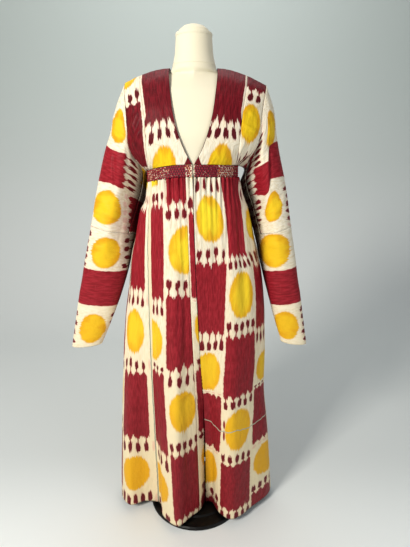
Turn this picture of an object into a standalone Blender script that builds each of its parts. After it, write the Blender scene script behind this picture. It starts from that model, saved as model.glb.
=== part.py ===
"""A gathered silk robe on a limbless dress form with a round stand.

The robe is cut as its maker cuts it: narrow strips of cloth that pass over the
shoulders, sleeves made of strips that run round the arm, an underarm gusset on
each side, a smocked waistband, and six skirt panels gathered into the band.

The tables are in centimetres and become metres when a mesh is made. The origin
is the centre of the stand's underside, +Z is up and the robe's front faces -Y.
The wearer's right side lies at -X.
"""

import math
from collections import namedtuple

import bmesh
import bpy
import numpy as np

METRES = 0.01  # one centimetre
NAME = "gathered_robe_on_form"

# ---------------------------------------------------------------- sizes, in centimetres
CLOTH = 0.16  # thickness of the cloth's wall
BAND_WALL = 0.24  # thickness of the smocked band between its ribs
SEAM = 0.03  # gap between two pieces that are sewn edge to edge
GATHERS = 54  # gathers of the skirt round the waist

WAIST_X = -0.6  # centre of the waist
WAIST_Y = -1.0
WAIST_HALF_WIDTH = 13.1
WAIST_DEPTH = 10.9
BAND_BOTTOM = 113.1
BAND_HEIGHT = 3.2
BAND_OPENING = 0.28  # half of the gap between the band's two front ends
OPENING_X = -0.15  # where the front opening lies at the waist
ARMHOLE_GAP = 0.05  # between the bodice and the head of a sleeve
CLOSED_GAP = 0.10  # between the skirt's two front edges
BAND_RIB = 0.13  # how far a smocked rib stands out
BAND_DIP_RIGHT = 1.8  # how much lower the band sits at the wearer's right side
BAND_DIP_LEFT = 0.3
DIP_FADE = 9.0  # height above the band over which its dip dies away
BAND_TOP = BAND_BOTTOM + BAND_HEIGHT + SEAM  # where the bodice's lower edge sits

HEM_HEIGHT = 2.5
GATHER_DEPTH = 0.30
GATHER_REACH = 9.0  # how far down the gathers run before they fade
REACH_WAVES = (4.0, 2.5)  # how much longer or shorter that is from one gather to the next
EDGE_STRIP = 4.2  # width of the narrow strip down the right front edge
LOOM_WIDTH = 34.5  # full width of the woven cloth
FRONT_RIGHT = 23.0  # the right front is two thirds of a loom width
FRONT_LEFT = 32.5

BASE_RADIUS = 16.3
POLE_RADIUS = 1.5
FORM_BOTTOM = 74.0
NECK_TOP = 149.6
CAP_TOP = 152.7

# ---------------------------------------------------------------- tables, in centimetres
# One row for each section of the bodice, from the front waist over the shoulder to the
# back waist. edge, seam and arm are distances from the middle to the strip's inner edge,
# to the seam between the centre and the side strip, and to the armhole.
Section = namedtuple("Section", "name edge_z arm_z mid_x mid_y half depth power edge seam arm")
BODICE = [
    Section("front waist", BAND_TOP, BAND_TOP, WAIST_X, WAIST_Y, 13.10, -10.90, 2.0, 0.25, 12.20, 12.95),
    Section("under bust", 119.00, 118.00, -0.5, -0.5, 15.90, -11.90, 2.2, 1.80, 12.30, 15.00),
    Section("bust", 124.30, 122.50, -0.2, 0.0, 20.30, -12.90, 2.5, 3.90, 12.50, 17.70),
    Section("chest", 130.00, 128.00, 0.0, 0.0, 20.60, -11.40, 2.5, 5.30, 13.00, 18.20),
    Section("upper chest", 135.00, 132.60, 0.0, 0.0, 21.00, -8.60, 2.6, 6.00, 13.80, 18.60),
    Section("collar bone", 139.60, 136.40, 0.0, 0.0, 23.00, -4.60, 3.0, 6.50, 14.50, 18.90),
    Section("shoulder", 142.00, 138.30, 0.0, 0.3, 25.00, 0.00, 3.0, 6.60, 14.80, 19.10),
    Section("nape side", 140.90, 137.00, 0.0, 0.0, 23.00, 4.30, 3.0, 5.60, 14.60, 19.00),
    Section("nape", 139.30, 134.60, 0.0, 0.0, 21.00, 6.60, 2.6, 0.40, 14.20, 18.80),
    Section("shoulder blade", 134.00, 130.50, 0.0, 0.0, 20.80, 8.60, 2.5, 0.02, 13.60, 18.40),
    Section("mid back", 127.00, 124.50, -0.1, 0.0, 20.40, 9.60, 2.5, 0.02, 13.00, 17.60),
    Section("small of back", 120.50, 119.00, -0.4, -0.5, 16.60, 9.90, 2.2, 0.02, 12.40, 14.70),
    Section("back waist", BAND_TOP, BAND_TOP, WAIST_X, WAIST_Y, 13.10, 10.90, 2.0, 0.02, 12.20, 12.95),
]
SHOULDER_BOW = 1.6  # the shoulder line falls faster towards the arm
# The left shoulder hangs a little wider and lower than the right.
ARM_WIDER = {"right": 0.0, "left": 0.9}
ARM_DROP = {"right": 0.0, "left": 0.7}
SHOULDER_REACH = 0.16  # share of the strip's length on each side that this reaches
CENTRE_STRIP = 11.5  # width of the centre strip, a third of the loom's
SIDE_STRIP = 5.0

# One row for each station of a sleeve below its armhole. The outer and inner edges are
# measured out from the middle, front and back are the sleeve's fullness, web is how far
# the inner front folds back towards the underarm, and laid is how far the inner fold lies
# back behind the skirt.
Station = namedtuple("Station", "name outer_x outer_z inner_x inner_z mid_y front back web laid")
SLEEVE_LENGTH = 90.0  # about the length of a sleeve from shoulder to cuff
SLEEVE_ROUND = 36.0  # about the cloth that goes round it
WEB_START = -0.15  # where the fold to the underarm starts, from -1 outside to 1 inside
WEB_FULL = 0.70
LAID_START = 0.45  # the part of the round that lies back, on the same scale
UNDERARM_OUT = 0.32  # from the top of the band to the tip of the gusset
UNDERARM_UP = 0.16
SLEEVES = {
    "right": [
        Station("sleeve head", 21.7, 132.0, 14.4, 113.9, 0.0, 7.0, 6.3, 0.35, 0.8),
        Station("upper arm", 24.0, 124.6, 13.9, 110.8, 0.0, 6.5, 6.3, 0.75, 3.0),
        Station("gusset middle", 25.8, 119.8, 14.5, 107.4, 0.0, 6.0, 6.2, 0.95, 3.5),
        Station("above elbow", 28.1, 111.6, 15.9, 102.9, 0.0, 5.2, 5.8, 0.95, 3.5),
        Station("strip seam", 31.2, 98.6, 18.35, 95.6, -0.2, 4.6, 5.0, 0.55, 2.4),
        Station("forearm", 34.6, 84.4, 21.3, 83.2, -0.5, 4.0, 4.2, 0.15, 0.6),
        Station("lower forearm", 37.2, 73.0, 25.3, 72.2, -0.9, 3.2, 3.3, 0.00, 0.0),
        Station("cuff", 40.0, 59.2, 30.4, 60.3, -1.2, 2.3, 2.3, 0.00, 0.0),
    ],
    "left": [
        Station("sleeve head", 22.1, 131.4, 14.7, 115.0, 0.0, 7.0, 6.3, 0.35, 1.2),
        Station("upper arm", 23.3, 124.6, 13.7, 110.8, 0.0, 6.4, 6.3, 0.75, 3.0),
        Station("gusset middle", 24.4, 119.4, 14.5, 107.2, 0.0, 5.8, 6.2, 0.95, 3.5),
        Station("above elbow", 26.2, 112.0, 16.1, 102.8, 0.0, 5.2, 5.8, 0.95, 3.5),
        Station("strip seam", 28.8, 98.4, 18.3, 95.4, -0.2, 4.6, 5.0, 0.55, 2.5),
        Station("forearm", 31.2, 85.0, 21.0, 83.6, -0.5, 3.9, 4.1, 0.15, 0.8),
        Station("lower forearm", 33.3, 74.0, 24.0, 72.8, -0.9, 3.1, 3.3, 0.00, 0.0),
        Station("cuff", 35.7, 60.2, 27.7, 61.0, -1.2, 2.2, 2.2, 0.00, 0.0),
    ],
}

# One row for each fold of the hem, from the right front edge round the back to the left
# front edge. A crest stands out, a hollow lies back.
Fold = namedtuple("Fold", "name x y")
HEM = [
    Fold("right front edge", 3.0, -6.6),
    Fold("right front turn", 1.3, -10.2),
    Fold("right front slope", -2.0, -13.5),
    Fold("right front crest", -6.0, -17.0),
    Fold("right crest's side", -11.1, -12.6),
    Fold("right hollow", -12.6, -7.4),
    Fold("right side slope", -17.5, -6.4),
    Fold("right side crest", -22.9, -8.0),
    Fold("right side", -26.6, -2.6),
    Fold("right back crest", -26.2, 4.6),
    Fold("right back hollow", -21.5, 8.2),
    Fold("back crest 1", -16.5, 15.4),
    Fold("back hollow 1", -10.8, 14.2),
    Fold("back crest 2", -2.5, 19.0),
    Fold("back hollow 2", 5.5, 15.2),
    Fold("back crest 3", 13.5, 17.6),
    Fold("back hollow 3", 18.4, 10.6),
    Fold("left back crest", 25.4, 5.8),
    Fold("left side", 26.3, -1.6),
    Fold("left side slope", 18.4, -9.4),
    Fold("left front crest", 12.2, -13.9),
    Fold("left crest's side", 8.0, -11.6),
    Fold("left front hollow", 5.7, -7.0),
    Fold("left front edge", 3.25, -6.5),
]

# One row for each height of the skirt: how much of the hem's place it has on the right, in
# the middle of the front and on the left, and how much of the folds' depth.
Flare = namedtuple("Flare", "height right middle left folds")
FLARES = [
    Flare(113.0, 0.00, 0.00, 0.00, 0.00),
    Flare(108.0, 0.12, 0.00, 0.17, 0.01),
    Flare(104.0, 0.325, 0.02, 0.35, 0.02),
    Flare(100.0, 0.405, 0.05, 0.445, 0.035),
    Flare(96.0, 0.49, 0.08, 0.515, 0.05),
    Flare(90.0, 0.62, 0.13, 0.65, 0.08),
    Flare(82.0, 0.69, 0.20, 0.77, 0.13),
    Flare(70.0, 0.83, 0.33, 0.845, 0.22),
    Flare(58.0, 0.90, 0.50, 0.845, 0.34),
    Flare(44.0, 0.94, 0.74, 0.81, 0.52),
    Flare(28.0, 0.98, 0.92, 0.905, 0.74),
    Flare(13.0, 0.99, 0.98, 0.965, 0.92),
    Flare(HEM_HEIGHT, 1.00, 1.00, 1.00, 1.00),
]
SIDE_BLEND = 14.0  # half of the width over which the right flare turns into the left
CLOSING_LENGTH = 3.0  # how soon below the band the front edges come together
CLOSING_WIDTH = 2.5  # how much cloth beside each front edge moves with it
MIDDLE_REACH = 9.0  # how far from the front opening the middle's flare is felt

# How the skirt's cloth is shared out along the band: cloth from the nearer front edge,
# and band from the same edge.
Share = namedtuple("Share", "side cloth band")
GATHERING = [
    Share("right", 0.0, 0.0),
    Share("right", 4.2, 1.8),
    Share("right", 15.7, 7.2),
    Share("right", 27.2, 14.4),
    Share("right", 61.7, 30.5),
    Share("left", 56.0, 30.5),
    Share("left", 32.5, 21.5),
    Share("left", 21.0, 14.6),
    Share("left", 9.5, 7.8),
    Share("left", 0.0, 0.0),
]

# The largest creases of the bodice: soft troughs between two places on the strips, given
# as (across, along) where across is 0 at the neck edge, 1 at the seam and 2 at the arm.
Crease = namedtuple("Crease", "side across_0 along_0 across_1 along_1 width depth")
CREASES = [
    Crease("right", 1.75, 0.40, 1.20, 0.05, 1.3, 0.55),
    Crease("right", 1.30, 0.30, 1.05, 0.08, 1.0, 0.30),
    Crease("left", 1.80, 0.30, 0.85, 0.05, 1.3, 0.50),
    Crease("left", 1.10, 0.22, 0.60, 0.02, 0.9, 0.25),
    Crease("right", 1.70, 0.62, 1.15, 0.93, 1.3, 0.45),
    Crease("left", 1.70, 0.62, 1.10, 0.92, 1.3, 0.45),
]

ARMHOLE_CALM = 0.4  # share of the side strip that stays smooth beside the armhole

# The dress form from its underside to the top of its neck.
Girth = namedtuple("Girth", "name height mid_x mid_y half front back power")
FORM = [
    Girth("underside", FORM_BOTTOM, 0.0, 0.6, 13.6, 8.8, 9.6, 2.2),
    Girth("lower edge", 75.2, 0.0, 0.6, 14.9, 9.7, 10.6, 2.2),
    Girth("seat", 82.0, 0.0, 0.6, 15.8, 10.2, 11.6, 2.2),
    Girth("hips", 90.0, -0.1, 0.4, 15.6, 10.1, 11.4, 2.2),
    Girth("high hips", 98.0, -0.3, 0.0, 14.2, 9.9, 10.8, 2.1),
    Girth("belly", 104.0, -0.5, -0.5, 13.0, 9.8, 10.2, 2.0),
    Girth("waist low", 109.5, -0.6, -1.0, 12.30, 10.00, 10.00, 2.0),
    Girth("under band", 112.8, -0.6, -1.0, 12.40, 10.15, 10.15, 2.0),
    Girth("band seat", 114.0, -0.6, -1.0, 12.81, 10.61, 10.61, 2.0),
    Girth("waist", 115.2, -0.6, -1.0, 12.70, 10.50, 10.50, 2.0),
    Girth("waist top", 116.5, -0.6, -1.0, 12.66, 10.45, 10.45, 2.0),
    Girth("ribs", 119.0, -0.5, -0.6, 14.1, 11.0, 9.6, 2.1),
    Girth("bust", 124.3, -0.2, 0.0, 16.4, 12.4, 9.1, 2.3),
    Girth("chest", 130.0, 0.0, 0.0, 16.6, 11.0, 8.6, 2.2),
    Girth("upper chest", 135.0, 0.0, 0.0, 16.4, 8.7, 7.6, 1.9),
    Girth("shoulder tip", 137.0, 0.0, 0.1, 16.0, 7.2, 6.8, 1.6),
    Girth("shoulder", 139.0, 0.0, 0.2, 13.6, 5.8, 5.6, 1.3),
    Girth("shoulder top", 140.2, 0.0, 0.3, 9.7, 5.3, 5.1, 1.15),
    Girth("neck base", 141.3, 0.0, 0.2, 6.35, 5.5, 5.0, 1.9),
    Girth("neck low", 142.8, 0.0, 0.1, 5.85, 5.4, 5.1, 2.0),
    Girth("neck", 145.6, 0.0, 0.0, 5.25, 5.15, 5.05, 2.0),
    Girth("neck top", NECK_TOP, 0.0, 0.0, 4.95, 4.95, 4.95, 2.0),
]

# ---------------------------------------------------------------- how finely it is built
FORM_COLUMNS = 36
BODICE_CENTRE_COLUMNS = 6
BODICE_SIDE_COLUMNS = 3
SLEEVE_COLUMNS = 24
ARMHOLE_STEPS = 11  # columns of a sleeve from the shoulder to the front waist, or the back's
GUSSET_FIRST = 9  # the gusset fills the columns from here ...
GUSSET_LAST = 15  # ... to here, on the inner side
SLEEVE_UPPER_ROWS = 8
SLEEVE_LOWER_ROWS = 7
SKIRT_HEIGHTS = [111.4, 108.6, 105.0, 100.0, 93.0, 84.0, 72.0, 58.0, 44.0, 30.0, 16.0]
SPLINE_STEPS = 24  # points that a smooth line has between two of its own
HEM_POINTS = 721
BAND_POINTS = 1441
CLOTH_POINTS = 1200
CLOTH_STEP = 10.0  # the skirt's slope along the hem is measured in steps of this length

# ---------------------------------------------------------------- finishes
Finish = namedtuple("Finish", "red green blue roughness metallic")
FINISHES = {
    "ikat_silk": Finish(0.45, 0.03, 0.05, 0.45, 0.0),
    "ikat_silk_skirt": Finish(0.80, 0.72, 0.58, 0.45, 0.0),
    "smocked_silk": Finish(0.30, 0.02, 0.04, 0.50, 0.0),
    "form_jersey": Finish(0.84, 0.80, 0.66, 0.80, 0.0),
    "stand_enamel": Finish(0.01, 0.01, 0.01, 0.12, 0.0),
}

FLIP = {"right": -1.0, "left": 1.0}  # turns a mirrored sheet's facing outwards


# ---------------------------------------------------------------- curves
def through(places, values, at):
    """Smooth value at each place of a curve through the values that never overshoots."""
    places = np.asarray(places, float)
    values = np.asarray(values, float)
    steps = np.diff(places)
    slopes = np.diff(values) / steps
    inner = np.zeros(len(slopes) - 1)
    same_way = slopes[:-1] * slopes[1:] > 0
    product = 2 * slopes[:-1] * slopes[1:]
    inner[same_way] = product[same_way] / (slopes[:-1] + slopes[1:])[same_way]
    ends = np.concatenate([[slopes[0]], inner, [slopes[-1]]])
    at = np.clip(np.asarray(at, float), places[0], places[-1])
    span = np.clip(np.searchsorted(places, at) - 1, 0, len(steps) - 1)
    t = (at - places[span]) / steps[span]
    rise = values[span] * (2 * t**3 - 3 * t**2 + 1) + values[span + 1] * (3 * t**2 - 2 * t**3)
    lean = ends[span] * (t**3 - 2 * t**2 + t) + ends[span + 1] * (t**3 - t**2)
    return rise + lean * steps[span]


def column(table, name):
    """One named column of a table."""
    return [getattr(row, name) for row in table]


def running_length(points):
    """Distance from the first point to each point of a line."""
    legs = np.linalg.norm(np.diff(points, axis=0), axis=1)
    return np.concatenate([[0.0], np.cumsum(legs)])


def spline(points, count):
    """Evenly spaced points on a smooth open curve through the given ones."""
    points = np.asarray(points, float)
    padded = np.vstack([2 * points[0] - points[1], points, 2 * points[-1] - points[-2]])
    t = np.linspace(0, 1, SPLINE_STEPS, endpoint=False)[:, None]
    stretches = []
    for a, b, c, d in zip(padded, padded[1:], padded[2:], padded[3:]):
        curve = 2 * b + (c - a) * t + (2 * a - 5 * b + 4 * c - d) * t**2
        stretches.append(0.5 * (curve + (3 * b - a - 3 * c + d) * t**3))
    line = np.vstack(stretches + [points[-1:]])
    run = running_length(line)
    even = np.linspace(0, run[-1], count)
    return np.stack([np.interp(even, run, line[:, k]) for k in range(points.shape[1])], axis=1)


def ease(x):
    """0 below 0, 1 above 1, and a smooth step between."""
    x = np.clip(x, 0.0, 1.0)
    return x * x * (3 - 2 * x)


def oval(x, half, power):
    """Depth of a rounded section at x, as a share of its depth in the middle."""
    inside = np.clip(1 - np.abs(x / half) ** power, 0.0, 1.0)
    return inside ** (1 / power)


# ---------------------------------------------------------------- waist and bodice
def waist_dip(x):
    """How far the waist line lies below its height in the middle."""
    off = np.clip((np.asarray(x) - WAIST_X) / WAIST_HALF_WIDTH, -1.0, 1.0)
    return np.where(off < 0, BAND_DIP_RIGHT, BAND_DIP_LEFT) * off**2


def bodice_places():
    """Where each section lies along the seam, from 0 at the front waist to 1 behind."""
    rail = []
    for row in BODICE:
        y = row.mid_y + row.depth * oval(row.seam, row.half, row.power)
        rail.append((row.seam, y, (row.edge_z + row.arm_z) / 2))
    run = running_length(np.array(rail))
    return run / run[-1]


PLACES = bodice_places()
SHOULDER = PLACES[column(BODICE, "name").index("shoulder")]


def bodice_sheet(side, across, along):
    """Points of the bodice's outer face. across runs 0, 1, 2: neck edge, seam, armhole."""
    sign = -1 if side == "right" else 1
    row = {}
    for name in Section._fields[1:]:
        row[name] = through(PLACES, column(BODICE, name), along)
    near_shoulder = np.exp(-(((along - SHOULDER) / SHOULDER_REACH) ** 2))
    row["arm"] = row["arm"] + ARM_WIDER[side] * near_shoulder
    row["arm_z"] = row["arm_z"] - ARM_DROP[side] * near_shoulder
    x = row["edge"] + np.clip(across, 0.0, 1.0) * (row["seam"] - row["edge"])
    x = np.where(across > 1, row["seam"] + (across - 1) * (row["arm"] - row["seam"]), x)
    share = (x - row["edge"]) / (row["arm"] - row["edge"])
    z = row["edge_z"] + (row["arm_z"] - row["edge_z"]) * share**SHOULDER_BOW
    y = row["mid_y"] + row["depth"] * oval(x, row["half"], row["power"])
    x = OPENING_X + (row["mid_x"] - OPENING_X) * share + sign * x
    near_waist = np.clip(1 - (z - BAND_BOTTOM - BAND_HEIGHT) / DIP_FADE, 0.0, 1.0)
    return np.stack([x, y, z - waist_dip(x) * near_waist], axis=-1)


def bodice_creases(side, across, along):
    """How far the creases press the bodice in, in centimetres."""
    press = np.zeros(np.broadcast(across, along).shape)
    clear_of_armhole = ease((2.0 - across) / ARMHOLE_CALM)
    points = bodice_sheet(side, across, along)
    for crease in CREASES:
        if crease.side != side:
            continue
        ends = bodice_sheet(
            side,
            np.array([crease.across_0, crease.across_1]),
            np.array([crease.along_0, crease.along_1]),
        )
        run = ends[1] - ends[0]
        t = ((points - ends[0]) @ run) / (run @ run)
        off = np.linalg.norm(points - ends[0] - np.clip(t, 0, 1)[..., None] * run, axis=-1)
        fade = np.clip(np.sin(np.pi * np.clip(t, 0.0, 1.0)), 0.0, 1.0)
        press += crease.depth * fade * np.exp(-((off / crease.width) ** 2))
    return press * clear_of_armhole


# ---------------------------------------------------------------- waistband
def band_point(run, z_up):
    """A point of the band's smooth face, run centimetres from the right front end."""
    run, z_up = np.broadcast_arrays(run, z_up)
    angle = band_angle(run)
    x = WAIST_X - WAIST_HALF_WIDTH * np.sin(angle)
    y = WAIST_Y - WAIST_DEPTH * np.cos(angle)
    return np.stack([x, y, BAND_BOTTOM - waist_dip(x) + z_up], axis=-1)


def band_table():
    """Angle round the waist for each length of band, from one front end to the other."""
    angle = np.linspace(0, 2 * math.pi, BAND_POINTS)
    ring = np.stack([WAIST_HALF_WIDTH * np.sin(angle), WAIST_DEPTH * np.cos(angle)], axis=1)
    run = running_length(ring)
    start = np.interp(BAND_OPENING, run, angle)
    keep = (angle >= start) & (angle <= 2 * math.pi - start)
    opening = math.asin((WAIST_X - OPENING_X) / WAIST_HALF_WIDTH)
    return run[keep] - run[keep][0], angle[keep] + opening


BAND_RUNS, BAND_ANGLES = band_table()
BAND_LENGTH = BAND_RUNS[-1]


def band_angle(run):
    """Angle round the waist at a length of band."""
    return np.interp(run, BAND_RUNS, BAND_ANGLES)


# ---------------------------------------------------------------- skirt
HEM_LINE = spline([(fold.x, fold.y) for fold in HEM], HEM_POINTS)
HEM_LENGTH = running_length(HEM_LINE)[-1]
HEM_RUN = np.linspace(0, HEM_LENGTH, len(HEM_LINE))
SOFTNESS = 9.0  # centimetres of hem over which the folds are evened out


def evened_hem():
    """The hem's line with its folds smoothed away."""
    loop = HEM_LINE[:-1]
    count = len(loop)
    step = HEM_LENGTH / count
    away = np.minimum(np.arange(count), count - np.arange(count)) * step
    weight = np.exp(-0.5 * (away / SOFTNESS) ** 2)
    weight /= weight.sum()
    turned = np.fft.fft(weight)
    even = [np.real(np.fft.ifft(np.fft.fft(loop[:, k]) * turned)) for k in range(2)]
    even = np.stack(even, axis=1)
    return np.vstack([even, even[:1]])


EVEN_HEM = evened_hem()


def gathering_table():
    """Cloth and band lengths, both counted from the right front edge."""
    cloth = []
    band = []
    for share in GATHERING:
        from_right = share.side == "right"
        cloth.append(share.cloth if from_right else HEM_LENGTH - share.cloth)
        band.append(share.band if from_right else BAND_LENGTH - share.band)
    return cloth, band


CLOTH_RUN, BAND_RUN = gathering_table()
CLOTH_RUN_FINE = np.linspace(0, HEM_LENGTH, CLOTH_POINTS)
BAND_RUN_FINE = through(CLOTH_RUN, BAND_RUN, CLOTH_RUN_FINE)


def height_share(height):
    """0 at the band and 1 at the hem."""
    return (BAND_BOTTOM - height) / (BAND_BOTTOM - HEM_HEIGHT)


def skirt_sheet(cloth, down):
    """Points of the skirt without its gathers; cloth runs along the hem from the right."""
    top = band_point(through(CLOTH_RUN, BAND_RUN, cloth), -SEAM)
    height = BAND_BOTTOM + (HEM_HEIGHT - BAND_BOTTOM) * down
    heights = column(FLARES, "height")[::-1]
    right = through(heights, column(FLARES, "right")[::-1], height)
    middle = through(heights, column(FLARES, "middle")[::-1], height)
    left = through(heights, column(FLARES, "left")[::-1], height)
    folds = through(heights, column(FLARES, "folds")[::-1], height)
    even = np.stack([np.interp(cloth, HEM_RUN, EVEN_HEM[:, k]) for k in range(2)], axis=-1)
    hem = np.stack([np.interp(cloth, HEM_RUN, HEM_LINE[:, k]) for k in range(2)], axis=-1)
    to_left = ease((even[..., 0] + SIDE_BLEND) / (2 * SIDE_BLEND))
    share = right + (left - right) * to_left
    from_opening = np.minimum(cloth, HEM_LENGTH - cloth)
    share = (share + (middle - share) * np.exp(-((from_opening / MIDDLE_REACH) ** 2)))[..., None]
    flat = top[..., :2] * (1 - share) + even * share + (hem - even) * folds[..., None]
    below = (BAND_BOTTOM - HEM_HEIGHT) * down
    to_middle = (BAND_OPENING - CLOSED_GAP / 2) * (1 - np.exp(-below / CLOSING_LENGTH))
    to_middle = to_middle * np.clip(1 - height_share(height), 0.0, 1.0)
    side_of_opening = np.where(cloth < HEM_LENGTH / 2, 1.0, -1.0)
    flat[..., 0] += side_of_opening * to_middle * np.exp(-from_opening / CLOSING_WIDTH)
    z = top[..., 2] + (HEM_HEIGHT - top[..., 2]) * down
    return np.concatenate([flat, z[..., None]], axis=-1)


def gather_depth(cloth, down):
    """How far each gather stands out; the gathers fade at uneven lengths."""
    turns = through(CLOTH_RUN, BAND_RUN, cloth) / BAND_LENGTH * GATHERS
    number = np.round(turns * 2)
    uneven = REACH_WAVES[0] * np.sin(2.4 * number) + REACH_WAVES[1] * np.sin(5.1 * number + 1.0)
    reach = GATHER_REACH + uneven
    below = (BAND_BOTTOM - HEM_HEIGHT) * down
    deep = GATHER_DEPTH * (1.0 + 0.25 * np.sin(3.3 * number))
    return deep * np.cos(2 * math.pi * turns) * np.exp(-((below / reach) ** 1.2))


# ---------------------------------------------------------------- sleeves
def armhole(side, turn):
    """The armhole's line; turn is 0 at the shoulder, 0.5 at the underarm, then the back."""
    turn = turn % 1.0
    reach = ARMHOLE_STEPS / SLEEVE_COLUMNS
    in_front = turn <= 0.5
    away = np.where(in_front, turn, 1.0 - turn)
    share = np.clip(away / reach, 0.0, 1.0)
    along = np.where(in_front, SHOULDER * (1 - share), SHOULDER + (1 - SHOULDER) * share)
    line = bodice_sheet(side, np.full(np.shape(turn), 2.0), along)
    sign = -1 if side == "right" else 1
    side_of_band = band_point(BAND_LENGTH * (0.25 if side == "right" else 0.75), BAND_HEIGHT)
    under = [side_of_band[0] + sign * UNDERARM_OUT, WAIST_Y, side_of_band[2] + UNDERARM_UP]
    across = np.clip((away - reach) / (0.5 - reach), 0.0, 1.0)[..., None]
    return line * (1 - across) + np.array(under) * across


def armhole_facing(side, turn):
    """The bodice's facing beside the armhole, which the sleeve's wall starts from."""
    turn = turn % 1.0
    reach = ARMHOLE_STEPS / SLEEVE_COLUMNS
    share = np.clip(np.where(turn <= 0.5, turn, 1.0 - turn) / reach, 0.0, 1.0)
    along = np.where(turn <= 0.5, SHOULDER * (1 - share), SHOULDER + (1 - SHOULDER) * share)

    def sheet(across, place):
        return bodice_sheet(side, across, np.clip(place, 0.0, 1.0))

    return facing(sheet, np.full(np.shape(turn), 2.0), along, FLIP[side])


def station_ring(side, station, turn):
    """A ring of the sleeve at one station of its table."""
    sign = -1 if side == "right" else 1
    angle = 2 * math.pi * turn
    reach = -np.cos(angle)
    half_x = (station.inner_x - station.outer_x) / 2
    half_z = (station.inner_z - station.outer_z) / 2
    x = (station.outer_x + station.inner_x) / 2 + half_x * reach
    z = (station.outer_z + station.inner_z) / 2 + half_z * reach
    forward = np.sin(angle)
    fold = 1 - station.web * ease((reach - WEB_START) / (WEB_FULL - WEB_START))
    y = station.mid_y - np.where(forward > 0, station.front * fold, station.back) * forward
    behind = 1 + 0.8 * np.minimum(forward, 0.0)
    y = y + station.laid * behind * ease((reach - LAID_START) / (1 - LAID_START))
    return np.stack([sign * x, y, z], axis=-1)


def sleeve_rings(side, turn):
    """All of a sleeve's rings, the first one just outside the armhole."""
    rings = [armhole(side, turn)]
    rings += [station_ring(side, station, turn) for station in SLEEVES[side]]
    outward = rings[1] - rings[0]
    outward /= np.linalg.norm(outward, axis=-1, keepdims=True)
    rings[0] = rings[0] + outward * ARMHOLE_GAP
    return np.stack(rings)


def sleeve_stops(side):
    """How far down the sleeve each ring lies, from 0 at the armhole to 1 at the cuff."""
    middles = sleeve_rings(side, np.arange(SLEEVE_COLUMNS) / SLEEVE_COLUMNS).mean(axis=1)
    run = running_length(middles)
    return run / run[-1]


STOPS = {side: sleeve_stops(side) for side in SLEEVES}


def sleeve_sheet(side, turn, down):
    """Points of the sleeve's outer face on smooth lines through its rings."""
    turn, down = np.broadcast_arrays(turn, down)
    rings = sleeve_rings(side, turn)
    stops = STOPS[side]
    slope = np.diff(rings, axis=0) / np.diff(stops).reshape((-1,) + (1,) * turn.ndim + (1,))
    ends = np.concatenate([slope[:1], (slope[:-1] + slope[1:]) / 2, slope[-1:]])
    span = np.clip(np.searchsorted(stops, down) - 1, 0, len(stops) - 2)
    step = (stops[span + 1] - stops[span])[..., None]
    t = ((down - stops[span])[..., None]) / step

    def pick(values, index):
        return np.take_along_axis(values, index[None, ..., None], axis=0)[0]

    rise = pick(rings, span) * (2 * t**3 - 3 * t**2 + 1)
    rise = rise + pick(rings, span + 1) * (3 * t**2 - 2 * t**3)
    lean = pick(ends, span) * (t**3 - 2 * t**2 + t) + pick(ends, span + 1) * (t**3 - t**2)
    return rise + lean * step


STRIP_SEAM = {}
for sleeve_side, stations in SLEEVES.items():
    seam_ring = column(stations, "name").index("strip seam") + 1
    STRIP_SEAM[sleeve_side] = STOPS[sleeve_side][seam_ring]


# ---------------------------------------------------------------- walls
def facing(sheet, first, second, flip=1.0, small=0.004):
    """Unit direction out of a sheet at each place, from its two slopes."""
    along_1 = sheet(first + small, second) - sheet(first - small, second)
    along_2 = sheet(first, second + small) - sheet(first, second - small)
    out = np.cross(along_1, along_2) * flip
    return out / np.maximum(np.linalg.norm(out, axis=-1, keepdims=True), 1e-9)


def levelled(out):
    """The same facings turned level, so that an edge that they start from sits flat."""
    level = out * [1, 1, 0]
    return level / np.linalg.norm(level, axis=-1, keepdims=True)


def closed_mesh(name, points, faces):
    """A mesh from points in centimetres, its faces turned to point out."""
    mesh = bpy.data.meshes.new(name)
    mesh.from_pydata([tuple(point) for point in points * METRES], [], faces)
    shape = bmesh.new()
    shape.from_mesh(mesh)
    bmesh.ops.recalc_face_normals(shape, faces=shape.faces)
    if shape.calc_volume(signed=True) < 0:
        bmesh.ops.reverse_faces(shape, faces=shape.faces)
    shape.to_mesh(mesh)
    shape.free()
    return mesh


def wall_mesh(name, outer, inner, closed=False):
    """A closed wall between two grids of points with the same rows and columns."""
    rows, columns = outer.shape[:2]
    points = np.concatenate([outer.reshape(-1, 3), inner.reshape(-1, 3)])
    half = rows * columns
    faces = []
    for r in range(rows - 1):
        for c in range(columns if closed else columns - 1):
            d = (c + 1) % columns
            a, b = r * columns + c, r * columns + d
            e, f = a + columns, b + columns
            faces.append((a, b, f, e))
            faces.append((half + a, half + e, half + f, half + b))
    for c in range(columns if closed else columns - 1):
        d = (c + 1) % columns
        last = (rows - 1) * columns
        faces.append((c, half + c, half + d, d))
        faces.append((last + c, last + d, half + last + d, half + last + c))
    if not closed:
        for r in range(rows - 1):
            a, e = r * columns, (r + 1) * columns
            faces.append((a, e, half + e, half + a))
            b, f = a + columns - 1, e + columns - 1
            faces.append((b, half + b, half + f, f))
    return closed_mesh(name, points, faces)


def ring_mesh(name, rings):
    """A closed solid lofted through rings, with a flat end at the first and last."""
    rings = np.asarray(rings)
    rows, columns = rings.shape[:2]
    faces = []
    for r in range(rows - 1):
        for c in range(columns):
            d = (c + 1) % columns
            a, b = r * columns + c, r * columns + d
            faces.append((a, b, b + columns, a + columns))
    faces.append(tuple(range(columns))[::-1])
    faces.append(tuple(range((rows - 1) * columns, rows * columns)))
    return closed_mesh(name, rings.reshape(-1, 3), faces)


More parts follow.
